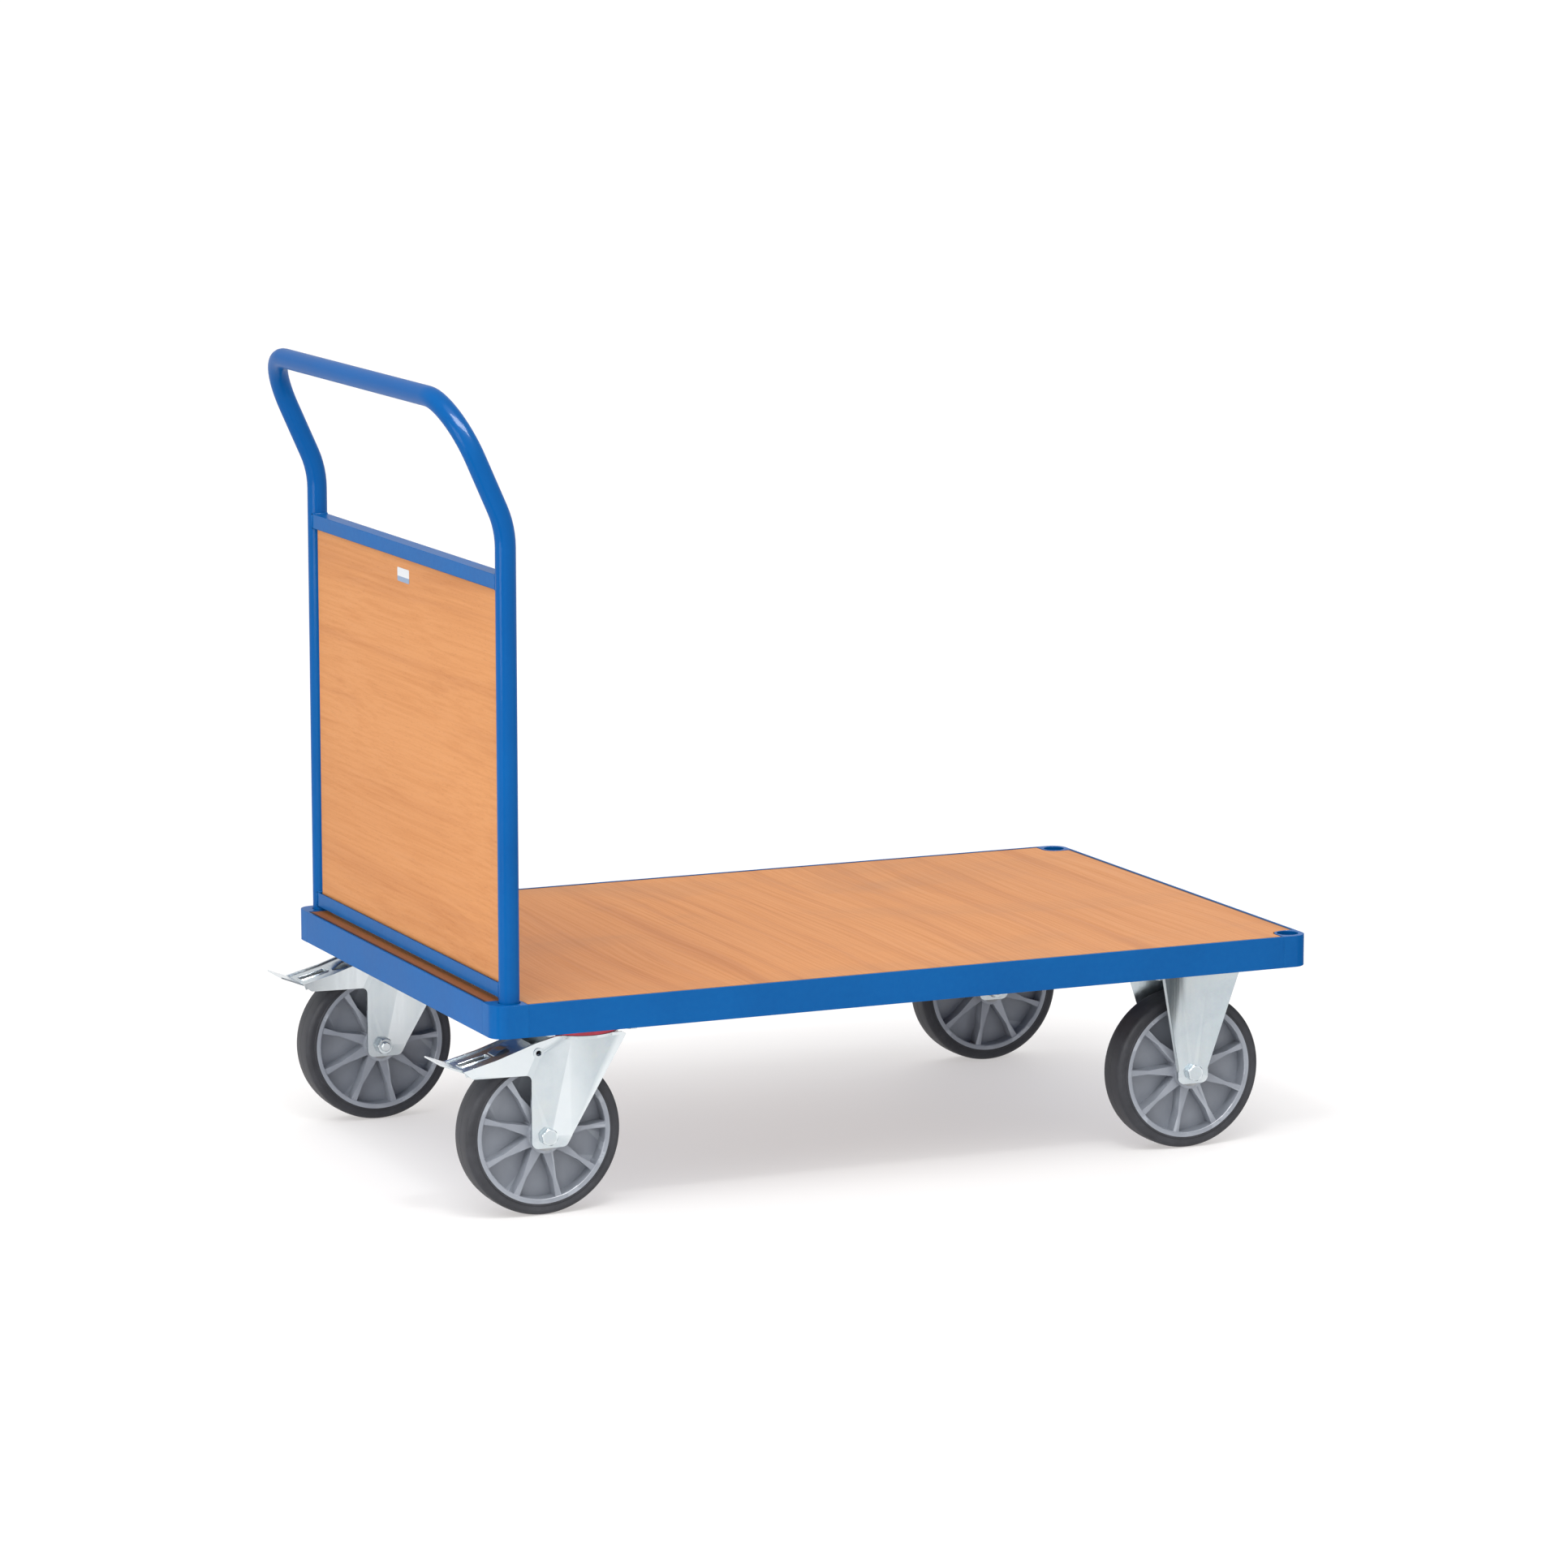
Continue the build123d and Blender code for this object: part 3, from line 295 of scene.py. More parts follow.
def tyre_rubber():
    """Grey thermoplastic rubber: matt, with a fine moulded texture and a little dust."""
    s = Shade("grey thermoplastic rubber")
    dust = s.noise(s.place, scale=38.0, detail=5.0, rough=0.6)
    fine = s.noise(s.place, scale=1500.0)
    scuff = s.noise(s.stretch((60.0, 900.0, 60.0)))
    tone = s.ramp(dust, [(0.30, srgb(46, 47, 51)), (0.72, srgb(58, 59, 64))])
    s.set(
        Base_Color=s.speckle(tone, srgb(98, 98, 102), scuff, (0.60, 0.80), most=0.16),
        Roughness=s.level(dust, NOISE_MIDDLE, (0.46, 0.62)),
        Specular_IOR_Level=0.25,
        Normal=s.bump(fine, 0.16, 0.3 * MM, under=s.bump(scuff, 0.06, 0.4 * MM)),
    )
    return s.material


def rim_polymer():
    """Moulded grey polyamide: even, slightly glossy, with fine spark-eroded texture."""
    s = Shade("grey polyamide")
    flow = s.noise(s.place, scale=18.0, detail=4.0, rough=0.5, distortion=0.6)
    fine = s.noise(s.place, scale=1900.0, detail=2.0)
    tone = s.ramp(flow, [(0.32, srgb(126, 131, 140)), (0.70, srgb(140, 145, 154))])
    s.set(
        Base_Color=s.tint(tone, srgb(196, 202, 210), s.worn_edge(), most=0.30),
        Roughness=s.level(flow, NOISE_MIDDLE, (0.36, 0.46)),
        Normal=s.bump(fine, 0.10, 0.2 * MM),
    )
    return s.material


def seal_red():
    """Dull red moulded dust seal."""
    s = Shade("red dust seal")
    drift = s.noise(s.place, scale=90.0, detail=4.0)
    s.set(
        Base_Color=s.ramp(drift, [(0.3, srgb(176, 34, 58)), (0.7, srgb(206, 56, 82))]),
        Roughness=0.48,
        Normal=s.bump(s.noise(s.place, scale=1400.0), 0.1, 0.3 * MM),
    )
    return s.material


def label_white():
    """Blank satin label: paper white with a plain tinted band along its foot."""
    s = Shade("blank label")
    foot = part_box("label_plate")[0].z
    band = s.level(s.along("Z"), (foot + 6.2 * MM, foot + 6.5 * MM), FALL)
    fibre = s.noise(s.place, scale=900.0)
    paper = s.ramp(fibre, [(0.3, srgb(192, 196, 200)), (0.7, srgb(204, 207, 210))])
    s.set(
        Base_Color=s.tint(paper, srgb(84, 118, 156), band, most=0.80),
        Roughness=0.38,
        Normal=s.bump(fibre, 0.05, 0.1 * MM),
    )
    return s.material


BLUE = blue_paint()
ZINC = zinc()
RUBBER = tyre_rubber()
STEEL = bearing_steel()
DECK_WOOD = beech("beech deck", srgb(197, 132, 75), srgb(180, 115, 62), start=(0, 0, 0), deck=True)
PANEL_WOOD = beech("beech end wall", srgb(196, 135, 82), srgb(180, 119, 70), start=(3.1, 1.147, 0))
FINISHES = {
    "blue_paint": BLUE,
    "zinc_plate": ZINC,
    "tyre_rubber": RUBBER,
    "rim_polymer": rim_polymer(),
    "bearing_steel": STEEL,
    "seal_red": seal_red(),
    "label_white": label_white(),
}
SLOT_OF = {entry["node"]: entry["material_slot"] for entry in frame["record"]["subparts"]}


def finish_of(node):
    """The material a CAD node wears."""
    if node == "deck_board":
        return DECK_WOOD
    if node == "end_panel":
        return PANEL_WOOD
    return FINISHES[SLOT_OF[node]]


def dress(obj, material):
    """Gives an object one material on every face and smooth shading."""
    obj.data.materials.clear()
    obj.data.materials.append(material)
    for face in obj.data.polygons:
        face.use_smooth = True
        face.material_index = 0


# ---------------------------------------------------------------- rounded edges on the CAD nodes
MERGE_WITHIN = 0.01 * MM
SHARP_FROM = math.radians(35)
EDGE_SEGMENTS = 2
SHOULDER_SEGMENTS = 5
# roundings of the sharp edges
BOARD_EDGE = 0.8 * MM
LABEL_EDGE = 0.08 * MM
RAIL_EDGE = 0.6 * MM
FINE_EDGE = 0.3 * MM
SHEET_EDGE = 0.7 * MM
FINE_EDGED = ("bolt", "nut", "screws", "pivot", "push_handle")


def edge_rounding(node):
    """How far a CAD node's sharp edges are rounded."""
    if node in ("deck_board", "end_panel"):
        return BOARD_EDGE
    if node == "label_plate":
        return LABEL_EDGE
    if node.endswith(("corner_socket", "_rail")):
        return RAIL_EDGE
    return FINE_EDGE if any(word in node for word in FINE_EDGED) else SHEET_EDGE


def round_edges(obj, width):
    """Joins a CAD mesh's split corners and rounds its sharp edges."""
    if "custom_normal" in obj.data.attributes:
        obj.data.attributes.remove(obj.data.attributes["custom_normal"])
    weld = obj.modifiers.new("join", "WELD")
    weld.merge_threshold = MERGE_WITHIN
    bevel = obj.modifiers.new("round", "BEVEL")
    bevel.width = width
    bevel.segments = EDGE_SEGMENTS
    bevel.limit_method = "ANGLE"
    bevel.angle_limit = SHARP_FROM
    bevel.use_clamp_overlap = True
    bevel.harden_normals = True
    bevel.miter_outer = "MITER_ARC"


def round_shoulders(node, width, is_shoulder):
    """Rounds only those edges whose ends both satisfy is_shoulder, as a pressed sheet is."""
    obj = NODES[node]
    group = obj.vertex_groups.new(name="shoulder")
    group.add([v.index for v in obj.data.vertices if is_shoulder(v.co)], 1.0, "REPLACE")
    bevel = obj.modifiers.new("shoulder", "BEVEL")
    bevel.width = width
    bevel.segments = SHOULDER_SEGMENTS
    bevel.limit_method = "VGROUP"
    bevel.vertex_group = "shoulder"
    bevel.use_clamp_overlap = True
    bevel.harden_normals = True


for name, node in NODES.items():
    dress(node, finish_of(name))
    round_edges(node, edge_rounding(name))


# ---------------------------------------------------------------- mesh builders
SMOOTH_UP_TO = math.radians(38)


def mesh_object(name, vertices, faces, material, body):
    """A smooth mesh piece that rides on a CAD body."""
    name = name.replace(" ", "_")
    mesh = bpy.data.meshes.new(name)
    mesh.from_pydata([tuple(v) for v in vertices], [], faces)
    mesh.validate()
    work = bmesh.new()
    work.from_mesh(mesh)
    bmesh.ops.recalc_face_normals(work, faces=work.faces)
    work.to_mesh(mesh)
    work.free()
    obj = bpy.data.objects.new(name, mesh)
    bpy.context.scene.collection.objects.link(obj)
    dress(obj, material)
    mesh.set_sharp_from_angle(angle=SMOOTH_UP_TO)
    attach(obj, body)
    return obj


def loft(rings, close_ends):
    """Vertices and faces of rings of equal count joined in order."""
    count = len(rings[0])
    vertices = [point for ring in rings for point in ring]
    faces = []
    for r in range(len(rings) - 1):
        for i in range(count):
            j = (i + 1) % count
            faces.append((r * count + i, r * count + j, (r + 1) * count + j, (r + 1) * count + i))
    if close_ends:
        faces.append(tuple(range(count - 1, -1, -1)))
        faces.append(tuple(range((len(rings) - 1) * count, len(rings) * count)))
    return vertices, faces


def about_y(centre, along, radius, angle):
    """A point at an angle round the Y line through centre, and along it."""
    return centre + Vector((radius * math.cos(angle), along, radius * math.sin(angle)))


def ring_about_y(centre, along, radius, steps):
    """A circle of points round the Y line through centre."""
    return [about_y(centre, along, radius, TURN * k / steps) for k in range(steps)]


def turned(centre, profile, steps):
    """A closed profile of (along +Y, radius) points turned about the Y line through centre."""
    vertices, faces = [], []
    count = len(profile)
    for k in range(steps):
        vertices += [about_y(centre, along, radius, TURN * k / steps) for along, radius in profile]
    for k in range(steps):
        n = (k + 1) % steps
        for i in range(count):
            j = (i + 1) % count
            faces.append((k * count + i, k * count + j, n * count + j, n * count + i))
    return vertices, faces


def arc(centre, radius, start, end, steps):
    """Points on an arc in the profile plane, angles in degrees."""
    points = []
    for i in range(steps + 1):
        angle = math.radians(start + (end - start) * i / steps)
        points.append((centre[0] + radius * math.cos(angle), centre[1] + radius * math.sin(angle)))
    return points


# ---------------------------------------------------------------- wheels
TYRE_STEPS = 180
SHOULDER_RADIUS = 6.3 * MM
SHOULDER_STEPS = 10
SHOULDER_SWEEP = 80
SHOULDER_DROP = 0.5 * MM
BEAD_STEP = 0.9 * MM
BEAD_HEIGHTS = (2.2 * MM, 2.8 * MM, 4.2 * MM)
CROWN_DROP = 0.12 * MM
# where the crown starts to drop and where it has dropped, as shares of the tyre's half width
CROWN_FLAT = 0.2
CROWN_EDGE = 0.5
SEAM_HEIGHT = 0.12 * MM
SEAM_FOOT = 0.35 * MM
SEAM_TOP = 0.25 * MM
GUARD_STEPS = 72
# section of a thread guard: out of the hub's face and from the axle, in mm
GUARD_SECTION = (
    (-1.4, 12.2), (0.5, 12.2), (0.6, 14.4), (0.1, 15.6), (0.1, 18.6), (-0.6, 19.8), (-1.4, 19.8),
)


def tyre(prefix, body):
    """Tyre with a faintly crowned tread, a mould seam, rounded shoulders and a raised bead by the rim."""
    node = f"{prefix}_tyre"
    centre, size = middle(node), span(node)
    outer, half = size.z / 2, size.y / 2
    inner = span(f"{prefix}_wheel_centre").z / 2
    bead_top, step_foot, step_top = (inner + height for height in BEAD_HEIGHTS)
    side = [(half, inner), (half, bead_top), (half - BEAD_STEP, step_foot), (half - BEAD_STEP, step_top)]
    shoulder_centre = (half - SHOULDER_RADIUS, outer - SHOULDER_RADIUS - SHOULDER_DROP)
    side += arc(shoulder_centre, SHOULDER_RADIUS, 0, SHOULDER_SWEEP, SHOULDER_STEPS)
    crown = [(half * CROWN_EDGE, outer - CROWN_DROP), (half * CROWN_FLAT, outer), (SEAM_FOOT, outer)]
    seam = [(SEAM_TOP, outer + SEAM_HEIGHT)]
    right = side + crown + seam
    profile = right + [(-along, radius) for along, radius in reversed(right)]
    vertices, faces = turned(centre, profile, TYRE_STEPS)
    obj = mesh_object(f"{prefix} moulded tyre", vertices, faces, RUBBER, body)
    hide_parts(node)


def hub_trim(prefix, body):
    """Thread guard beside each hub face: a thin ring with a raised inner lip."""
    centre = middle(f"{prefix}_wheel_centre")
    half = span(f"{prefix}_wheel_centre").y / 2
    for name, side in (("near", -1), ("far", 1)):
        profile = [(side * (half + out * MM), radius * MM) for out, radius in GUARD_SECTION]
        vertices, faces = turned(centre, profile, GUARD_STEPS)
        mesh_object(f"{prefix} {name} thread guard", vertices, faces, STEEL, body)


# ---------------------------------------------------------------- axle bolts and nuts
ACROSS_FLATS = 19 * MM
HEAD_HEIGHT = 7.5 * MM
NUT_HEIGHT = 10 * MM
HEAD_TURN = 0.35
NUT_TURN = 0.1
HEAD_STEPS = 96
# up a head: share of its height, and its limit against half the distance across the flats
HEAD_LEVELS = ((0.0, 1.0), (0.4, 1.0), (0.78, 1.06), (0.90, 1.0), (1.0, 0.92))
CHAMFER_FROM = 0.7
CORNER_CUT = 1.075
DISH_RADIUS = ACROSS_FLATS * 0.40
DISH_DEPTH = 0.25 * MM
SHANK_STEPS = 48
# along a shank: share of its length, and its radius
SHANK_LEVELS = ((0.0, 6 * MM), (0.985, 6 * MM), (1.0, 5 * MM))


def hexagon_radius(angle, across_flats):
    """Distance from the middle of a hexagon to its side in one direction."""
    sector = math.radians(60)
    return across_flats / 2 / math.cos((angle % sector) - sector / 2)


def hexagon_head(centre, outward, height, name, body, turn):
    """Forged hexagon head or nut, with a turned chamfer and a shallow dish on top."""
    rings = []
    for share, limit in HEAD_LEVELS:
        ring = []
        for k in range(HEAD_STEPS):
            angle = TURN * k / HEAD_STEPS
            radius = hexagon_radius(angle + turn, ACROSS_FLATS)
            if share > CHAMFER_FROM:
                radius = min(radius, ACROSS_FLATS / 2 * limit * CORNER_CUT)
            ring.append(about_y(centre, outward * share * height, radius, angle))
        rings.append(ring)
    rings.append(ring_about_y(centre, outward * (height - DISH_DEPTH), DISH_RADIUS, HEAD_STEPS))
    vertices, faces = loft(rings, True)
    return mesh_object(name, vertices, faces, ZINC, body)


def axle_set(prefix, side, body):
    """Axle bolt with its head on the truck's outer side, and its nut and shank end on the inner one."""
    bolt, nut = f"{prefix}_axle_bolt", f"{prefix}_axle_nut"
    low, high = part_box(bolt)
    nut_low, nut_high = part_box(nut)
    outer_end, inner_end = (low.y, high.y) if side < 0 else (high.y, low.y)
    nut_base = nut_low.y if side < 0 else nut_high.y
    head_base = outer_end - side * HEAD_HEIGHT
    axle = (low + high) / 2
    head_centre = Vector((axle.x, head_base, axle.z))
    head = hexagon_head(head_centre, side, HEAD_HEIGHT, f"{prefix} axle head", body, HEAD_TURN)
    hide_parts(bolt)
    nut_centre = Vector((axle.x, nut_base, axle.z))
    nut_piece = hexagon_head(nut_centre, -side, NUT_HEIGHT, f"{prefix} axle nut", body, NUT_TURN)
    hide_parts(nut)
    length = inner_end - head_base
    rings = []
    for share, radius in SHANK_LEVELS:
        rings.append(ring_about_y(head_centre, length * share, radius, SHANK_STEPS))
    vertices, faces = loft(rings, True)
    mesh_object(f"{prefix} axle shank", vertices, faces, ZINC, body)


for side_name, side in SIDES:
    for end_name in ("rear", "front"):
        prefix = f"{end_name}_{side_name}"
        tyre(prefix, f"{prefix}_wheel")
        hub_trim(prefix, f"{prefix}_wheel")
        axle_set(prefix, side, f"{prefix}_swivel" if end_name == "rear" else "truck")


# ---------------------------------------------------------------- forks and brake pedals
# places here are in mm, ahead of a tyre's crown and above it
# top line of a fork's arm, neck and head
ARM_TOP = ((-108.0, -12.0), (-65.0, -1.4), (-39.0, 7.0), (-15.0, 15.0), (12.0, 21.5), (101.0, 21.5))
ARM_TOP_WITHIN = 0.6
ARM_ROUNDING = 1.9 * MM
# upper face of the pedal's foot, from its lip to the arms, and the slot through it
FOOT_START = (-104.0, -12.8)
FOOT_END = (-65.0, -3.0)
SLOT_MIDDLE = -82.0
SLOT_LENGTH = 36.0
SLOT_WIDTH = 14.0
# rolled rim round the slot
RIM_MARGIN = 1.0
RIM_CORNER = 3.0
RIM_CORNER_STEPS = 6
ROLL_RADIUS = 1.1
ROLL_HEIGHT = 1.3
ROLL_SINK = 0.1
ROLL_STEPS = 8
RIM_FOOT = -2.4
# release tab, along the foot from its lip and above it
TAB_START = 46.0
TAB_LENGTH = 22.0
TAB_FOOT = 0.2
TAB_RISE = 4.6
TAB_CURL = math.pi * 0.62
TAB_HALF_WIDTH = 11.0
TAB_TAPER = 0.32
TAB_HALF_THICKNESS = 1.0
TAB_SQUARENESS = 0.35
TAB_STEPS = 16
TAB_SIDES = 24


def tyre_crown(prefix):
    """The top of a tyre, over its axle."""
    axle = middle(f"{prefix}_tyre")
    return Vector((axle.x, axle.y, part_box(f"{prefix}_tyre")[1].z))


def line_height(line, x):
    """Height of a broken line at x."""
    for (x0, z0), (x1, z1) in zip(line, line[1:]):
        if x0 <= x <= x1:
            return z0 + (z1 - z0) * (x - x0) / (x1 - x0)
    return math.inf


def fork_shoulders(prefix):
    """Rounds the top of a fork's arms, neck and head."""
    crown = tyre_crown(prefix)

    def is_shoulder(point):
        x, z = (point.x - crown.x) / MM, (point.z - crown.z) / MM
        return abs(z - line_height(ARM_TOP, x)) < ARM_TOP_WITHIN

    round_shoulders(f"{prefix}_fork", ARM_ROUNDING, is_shoulder)


def foot_point(crown, along, across, lift):
    """A point on the pedal's foot: along its slope from its lip, across it and above it, in mm."""
    run, rise = FOOT_END[0] - FOOT_START[0], FOOT_END[1] - FOOT_START[1]
    size = math.hypot(run, rise)
    x = FOOT_START[0] + (along * run - lift * rise) / size
    z = FOOT_START[1] + (along * rise + lift * run) / size
    return crown + MM * Vector((x, across, z))


def slot_rim_path():
    """Rounded rectangle round the slot: points along and across the foot, and the way out at each."""
    run, rise = FOOT_END[0] - FOOT_START[0], FOOT_END[1] - FOOT_START[1]
    slope = run / math.hypot(run, rise)
    centre = (SLOT_MIDDLE - FOOT_START[0]) / slope
    straight_length = SLOT_LENGTH / 2 / slope + RIM_MARGIN - RIM_CORNER
    straight_width = SLOT_WIDTH / 2 + RIM_MARGIN - RIM_CORNER
    path = []
    for quadrant, (sign_u, sign_v) in enumerate(((1, 1), (-1, 1), (-1, -1), (1, -1))):
        for step in range(RIM_CORNER_STEPS + 1):
            angle = math.radians(90 * (quadrant + step / RIM_CORNER_STEPS))
            out_u, out_v = math.cos(angle), math.sin(angle)
            u = centre + sign_u * straight_length + RIM_CORNER * out_u
            v = sign_v * straight_width + RIM_CORNER * out_v
            path.append((u, v, out_u, out_v))
    return path


def slot_rim(prefix, body):
    """Rolled rim pressed up round the pedal's slot."""
    crown = tyre_crown(prefix)
    path = slot_rim_path()

    def ring(out, lift):
        return [foot_point(crown, u + out * out_u, v + out * out_v, lift) for u, v, out_u, out_v in path]

    rings = [ring(ROLL_RADIUS, RIM_FOOT)]
    for step in range(ROLL_STEPS + 1):
        angle = math.pi * step / ROLL_STEPS
        rings.append(ring(ROLL_RADIUS * math.cos(angle), ROLL_HEIGHT * math.sin(angle) - ROLL_SINK))
    rings += [ring(-ROLL_RADIUS, RIM_FOOT), ring(ROLL_RADIUS, RIM_FOOT)]
    vertices, faces = loft(rings, False)
    mesh_object(f"{prefix} pedal slot rim", vertices, faces, ZINC, body)


def release_tab(prefix, body):
    """Tab pressed up out of the foot behind the slot, curling back over itself."""
    crown = tyre_crown(prefix)
    rings = []
    for step in range(TAB_STEPS + 1):
        share = step / TAB_STEPS
        along = TAB_START + TAB_LENGTH * share
        lift = TAB_FOOT + TAB_RISE * math.sin(TAB_CURL * share)
        half = TAB_HALF_WIDTH * (1.0 - TAB_TAPER * share ** 2)
        ring = []
        for k in range(TAB_SIDES):
            angle = TURN * k / TAB_SIDES
            flat = math.copysign(abs(math.cos(angle)) ** TAB_SQUARENESS, math.cos(angle))
            ring.append(foot_point(crown, along, half * flat, lift + TAB_HALF_THICKNESS * math.sin(angle)))
        rings.append(ring)
    vertices, faces = loft(rings, True)
    mesh_object(f"{prefix} release tab", vertices, faces, ZINC, body)


for side_name, side in SIDES:
    prefix = f"rear_{side_name}"
    fork_shoulders(prefix)
    slot_rim(prefix, f"{prefix}_pedal")
    release_tab(prefix, f"{prefix}_pedal")


# ---------------------------------------------------------------- weld beads
TUBE_RADIUS = 12.5 * MM
BEAD_SIDES = 12
BEAD_RIPPLE = 0.10
RIPPLE_TURN = 2.1
TAPER_POINTS = 2.5
END_FILL = 0.6
ROUND_BEAD = 3.2 * MM
UPRIGHT_BEAD = 3.0 * MM
ROUND_STAND_OFF = 0.6 * MM
UPRIGHT_STAND_OFF = 0.3 * MM
ROUND_STEPS = 26
UPRIGHT_STEPS = 12
WIDEST_REACH = 0.98


def weld_bead(name, points, width):
    """Rippled bead of weld along a path, painted over."""
    rings = []
    total = len(points)
    for i, point in enumerate(points):
        ahead = points[min(i + 1, total - 1)] - points[max(i - 1, 0)]
        ahead.normalize()
        aside = ahead.orthogonal().normalized()
        other = ahead.cross(aside)
        taper = min(1.0, (min(i, total - 1 - i) + END_FILL) / TAPER_POINTS)
        radius = width / 2 * taper * (1.0 + BEAD_RIPPLE * math.sin(i * RIPPLE_TURN))
        ring = []
        for k in range(BEAD_SIDES):
            angle = TURN * k / BEAD_SIDES
            ring.append(point + aside * radius * math.cos(angle) + other * radius * math.sin(angle))
        rings.append(ring)
    vertices, faces = loft(rings, True)
    mesh_object(name, vertices, faces, BLUE, "truck")


def tube_weld(rail, side_name, side):
    """Bead round the rail's end where it meets the upright."""
    low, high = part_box(rail)
    tube_y = side * (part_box("push_handle")[1].y - TUBE_RADIUS)
    upright_x = (low.x + high.x) / 2
    reach = math.asin(min(WIDEST_REACH, (high.x - low.x) / 2 / TUBE_RADIUS))
    for level_name, z in (("top", high.z), ("foot", low.z)):
        radius = TUBE_RADIUS + ROUND_STAND_OFF
        points = []
        for i in range(ROUND_STEPS + 1):
            angle = -reach + 2 * reach * i / ROUND_STEPS
            x, y = upright_x + radius * math.sin(angle), tube_y - side * radius * math.cos(angle)
            points.append(Vector((x, y, z)))
        weld_bead(f"{rail} {side_name} {level_name} weld", points, ROUND_BEAD)
    for face_name, x in (("back", low.x), ("front", high.x)):
        y = tube_y - side * (TUBE_RADIUS + UPRIGHT_STAND_OFF) * math.cos(reach)
        heights = [low.z + (high.z - low.z) * i / UPRIGHT_STEPS for i in range(UPRIGHT_STEPS + 1)]
        weld_bead(f"{rail} {side_name} {face_name} weld", [Vector((x, y, z)) for z in heights], UPRIGHT_BEAD)


for rail in ("upper_rail", "lower_rail"):
    for side_name, side in SIDES:
        tube_weld(rail, side_name, side)


# ---------------------------------------------------------------- studio
FLOOR_SIZE = 160
HORIZON = (0.96, 0.97, 0.99, 1.0)
ZENITH = (1.0, 1.0, 1.0, 1.0)
HORIZON_HEIGHT = 0.02
ZENITH_HEIGHT = 0.55
SKY_STRENGTH = 0.94
SUN_STRENGTH = 1.2
SUN_SPREAD = math.radians(50)
SUN_DIRECTION = Vector((0.35, 0.45, -1.0))
OVER_NEAR_CORNER = (-0.6, -1.6, 2.6)
HANDLE_END = (-0.3, -0.2, 0.6)
# dark cards: how far they bow, against their width, and in how many steps
CARD_BOW = 0.08
CARD_STEPS = 12


def aim(obj, direction):
    """Points an object's -Z along a direction."""
    obj.rotation_euler = direction.to_track_quat("-Z", "Y").to_euler()


def floor_material():
    """Pale seamless floor that glows a little, so that its shadows stay soft."""
    s = Shade("studio floor")
    mottling = s.noise(s.place, scale=1.3, detail=4.0)
    tone = s.ramp(mottling, [(0.3, srgb(176, 176, 176)), (0.7, srgb(180, 180, 179))])
    s.set(Base_Color=tone, Roughness=0.75, Emission_Color=(1.0, 0.965, 0.955, 1.0), Emission_Strength=0.46)
    return s.material


def card_material():
    """Matt dark weave of the studio's cards."""
    s = Shade("dark card")
    weave = s.noise(s.place, scale=60.0)
    s.set(Base_Color=s.ramp(weave, [(0.3, srgb(52, 58, 62)), (0.7, srgb(66, 72, 76))]), Roughness=0.9)
    return s.material


def studio_sky():
    """A white world, a little cooler at the horizon."""
    world = bpy.data.worlds.new("studio")
    bpy.context.scene.world = world
    world.use_nodes = True
    sky = world.node_tree
    background = sky.nodes["Background"]
    direction = sky.nodes.new("ShaderNodeTexCoord")
    height = sky.nodes.new("ShaderNodeSeparateXYZ")
    shade = sky.nodes.new("ShaderNodeValToRGB")
    sky.links.new(direction.outputs["Generated"], height.inputs["Vector"])
    sky.links.new(height.outputs["Z"], shade.inputs["Fac"])
    sky.links.new(shade.outputs["Color"], background.inputs["Color"])
    low, high = shade.color_ramp.elements
    low.position, low.color = HORIZON_HEIGHT, HORIZON
    high.position, high.color = ZENITH_HEIGHT, ZENITH
    background.inputs["Strength"].default_value = SKY_STRENGTH


def overhead_light(name):
    """A broad soft sun."""
    data = bpy.data.lights.new(name, "SUN")
    data.energy = SUN_STRENGTH
    data.angle = SUN_SPREAD
    sun = bpy.data.objects.new(name, data)
    bpy.context.scene.collection.objects.link(sun)
    aim(sun, SUN_DIRECTION)


def area_light(name, place, target, size, power):
    """A rectangular lamp at place, facing target."""
    data = bpy.data.lights.new(name, "AREA")
    data.shape = "RECTANGLE"
    data.size, data.size_y = size
    data.energy = power
    lamp = bpy.data.objects.new(name, data)
    bpy.context.scene.collection.objects.link(lamp)
    lamp.location = place
    aim(lamp, Vector(target) - Vector(place))
    return lamp


def dark_card(name, place, target, width, height, material):
    """A bowed dark card, seen only in the gloss of metal, that gives bent sheet its soft bands."""
    shares = [k / CARD_STEPS for k in range(CARD_STEPS + 1)]
    vertices = []
    for edge in (-height / 2, height / 2):
        bows = [-CARD_BOW * width * math.sin(math.pi * share) for share in shares]
        vertices += [(width * (share - 0.5), edge, bow) for share, bow in zip(shares, bows)]
    second_row = CARD_STEPS + 1
    faces = [(k, k + 1, second_row + k + 1, second_row + k) for k in range(CARD_STEPS)]
    mesh = bpy.data.meshes.new(name)
    mesh.from_pydata(vertices, [], faces)
    card = bpy.data.objects.new(name, mesh)
    bpy.context.scene.collection.objects.link(card)
    card.data.materials.append(material)
    card.location = place
    aim(card, Vector(target) - Vector(place))
    card.visible_camera = False
    card.visible_diffuse = False
    card.visible_shadow = False


bpy.ops.mesh.primitive_plane_add(size=FLOOR_SIZE)
floor = bpy.context.object
floor.name = "studio floor"
floor.data.materials.append(floor_material())

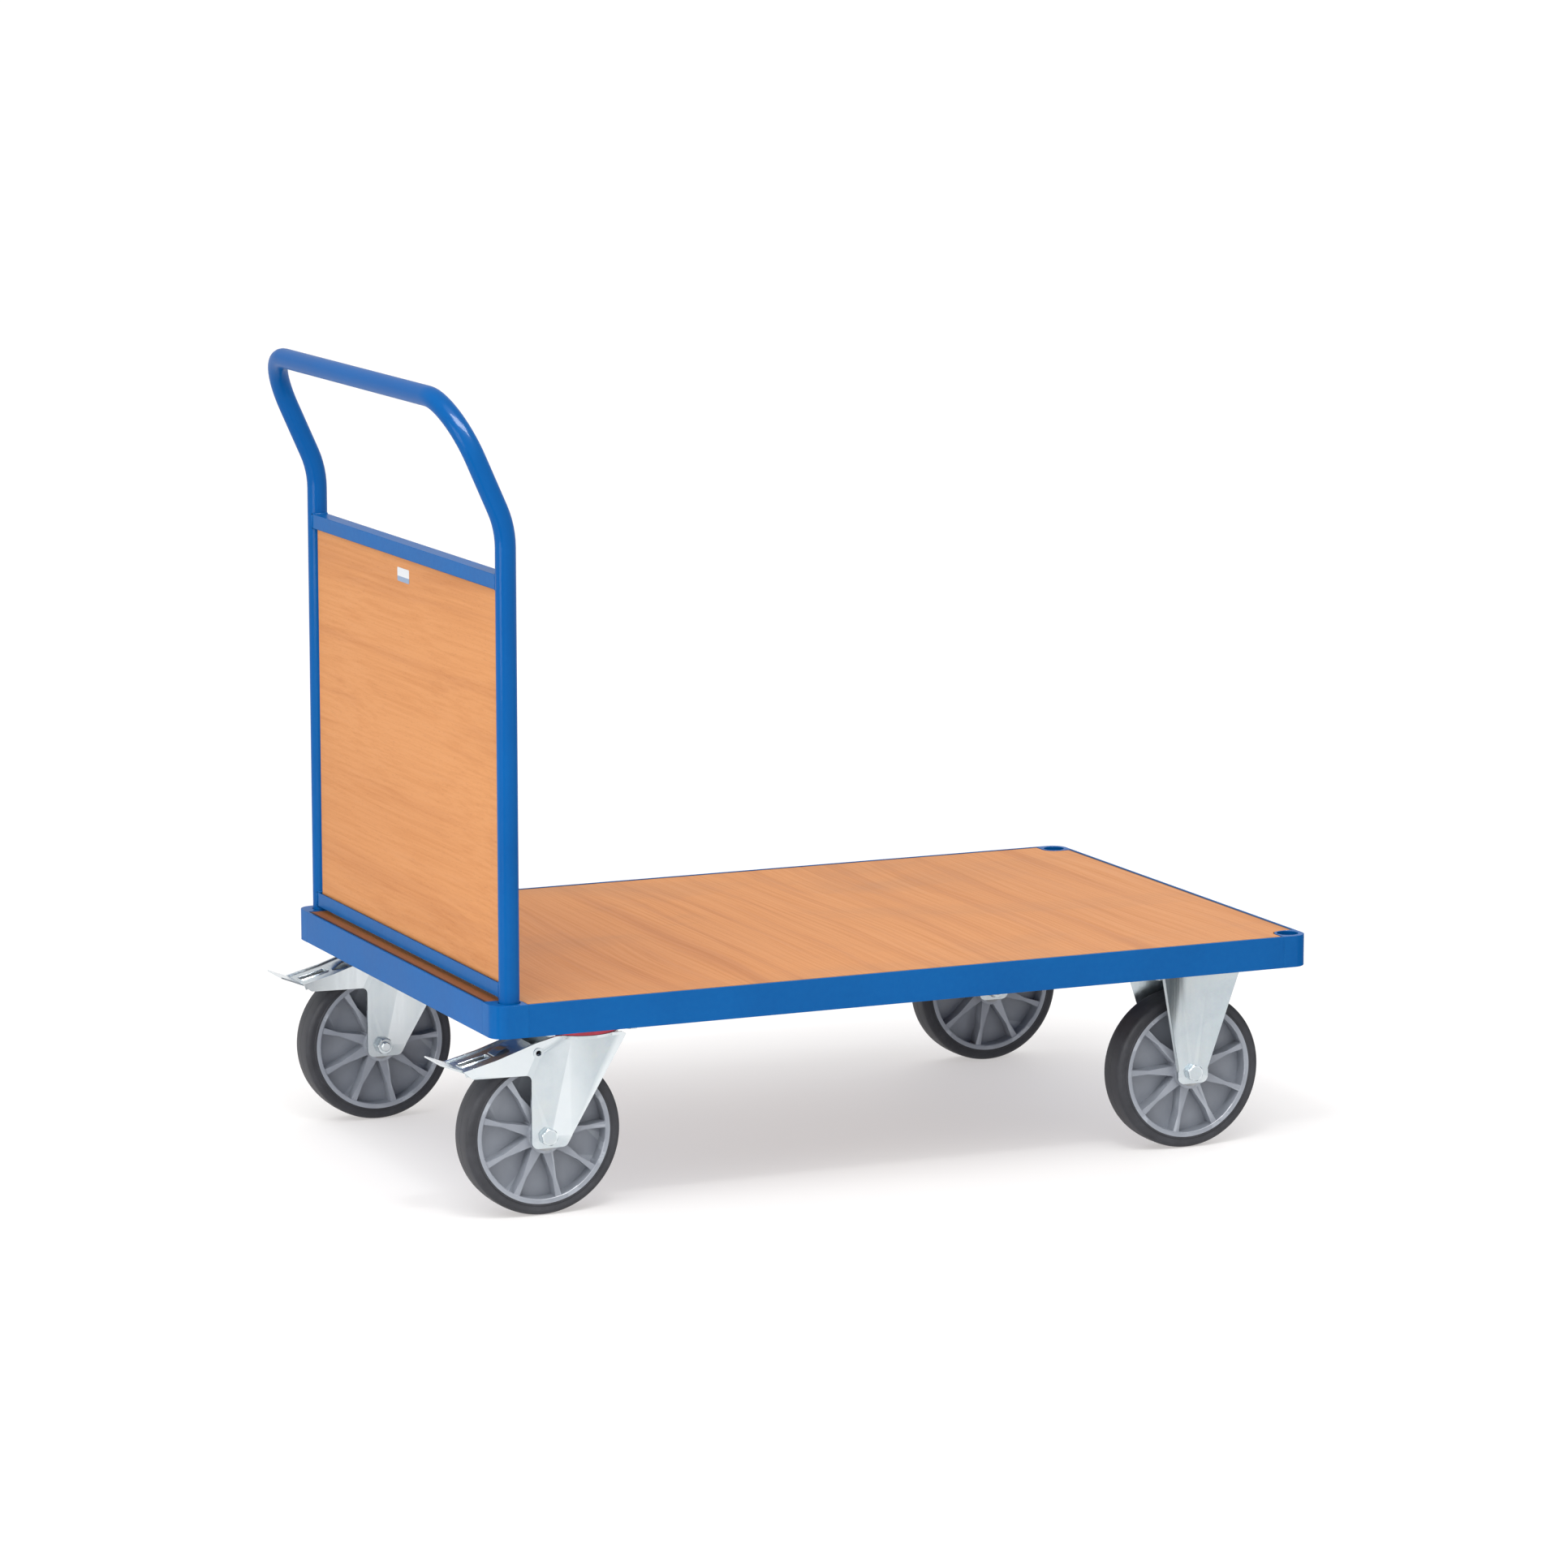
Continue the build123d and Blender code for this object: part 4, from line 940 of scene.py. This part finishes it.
studio_sky()
overhead_light("broad overhead light")
area_light("key lamp", OVER_NEAR_CORNER, HANDLE_END, (0.42, 0.22), 14.0)
gloss_lamp = area_light("gloss softbox", OVER_NEAR_CORNER, HANDLE_END, (2.4, 0.9), 330.0)
gloss_lamp.visible_diffuse = False
area_light("side softbox", (-3.0, -0.9, 0.7), (-0.4, 0.0, 0.4), (1.4, 1.0), 26.0)
area_light("far fill", (2.6, 2.4, 2.0), (0.2, 0.0, 0.3), (2.2, 1.6), 8.0)

CARD = card_material()
dark_card("dark card ahead", (1.05, -0.42, 0.22), (0.45, -0.34, 0.16), 0.70, 0.56, CARD)
dark_card("dark card behind", (-1.35, -0.85, 0.34), (-0.40, -0.30, 0.16), 0.40, 0.68, CARD)

# ---------------------------------------------------------------- camera
# distances are from the handle end's face, the near side's face and the floor; angles are in radians
CAMERA_LENS = 135.85
CAMERA_SENSOR = 36.0
CAMERA_REACH = 200.0
CAMERA_BACK = 2.4811
CAMERA_ASIDE = 6.4011
CAMERA_HEIGHT = 1.7006
CAMERA_YAW = 0.4198
CAMERA_PITCH = 0.1679
CAMERA_ROLL = -0.0005
rear_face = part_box("rear_end_rail")[0].x
near_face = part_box("right_side_rail")[0].y
camera_data = bpy.data.cameras.new("photo camera")
camera_data.lens = CAMERA_LENS
camera_data.sensor_width = CAMERA_SENSOR
camera_data.clip_end = CAMERA_REACH
camera = bpy.data.objects.new("photo camera", camera_data)
bpy.context.scene.collection.objects.link(camera)
right = Vector((math.cos(CAMERA_YAW), -math.sin(CAMERA_YAW), 0))
level = Vector((math.sin(CAMERA_YAW), math.cos(CAMERA_YAW), 0))
up = Vector((0, 0, 1))
ahead = level * math.cos(CAMERA_PITCH) - up * math.sin(CAMERA_PITCH)
above = up * math.cos(CAMERA_PITCH) + level * math.sin(CAMERA_PITCH)
facing = Matrix((right, above, -ahead)).transposed()
facing = facing @ Matrix.Rotation(CAMERA_ROLL, 3, "Z")
place = Vector((rear_face - CAMERA_BACK, near_face - CAMERA_ASIDE, CAMERA_HEIGHT))
camera.matrix_world = Matrix.Translation(place) @ facing.to_4x4()
bpy.context.scene.camera = camera
bpy.context.scene.view_settings.view_transform = "Standard"
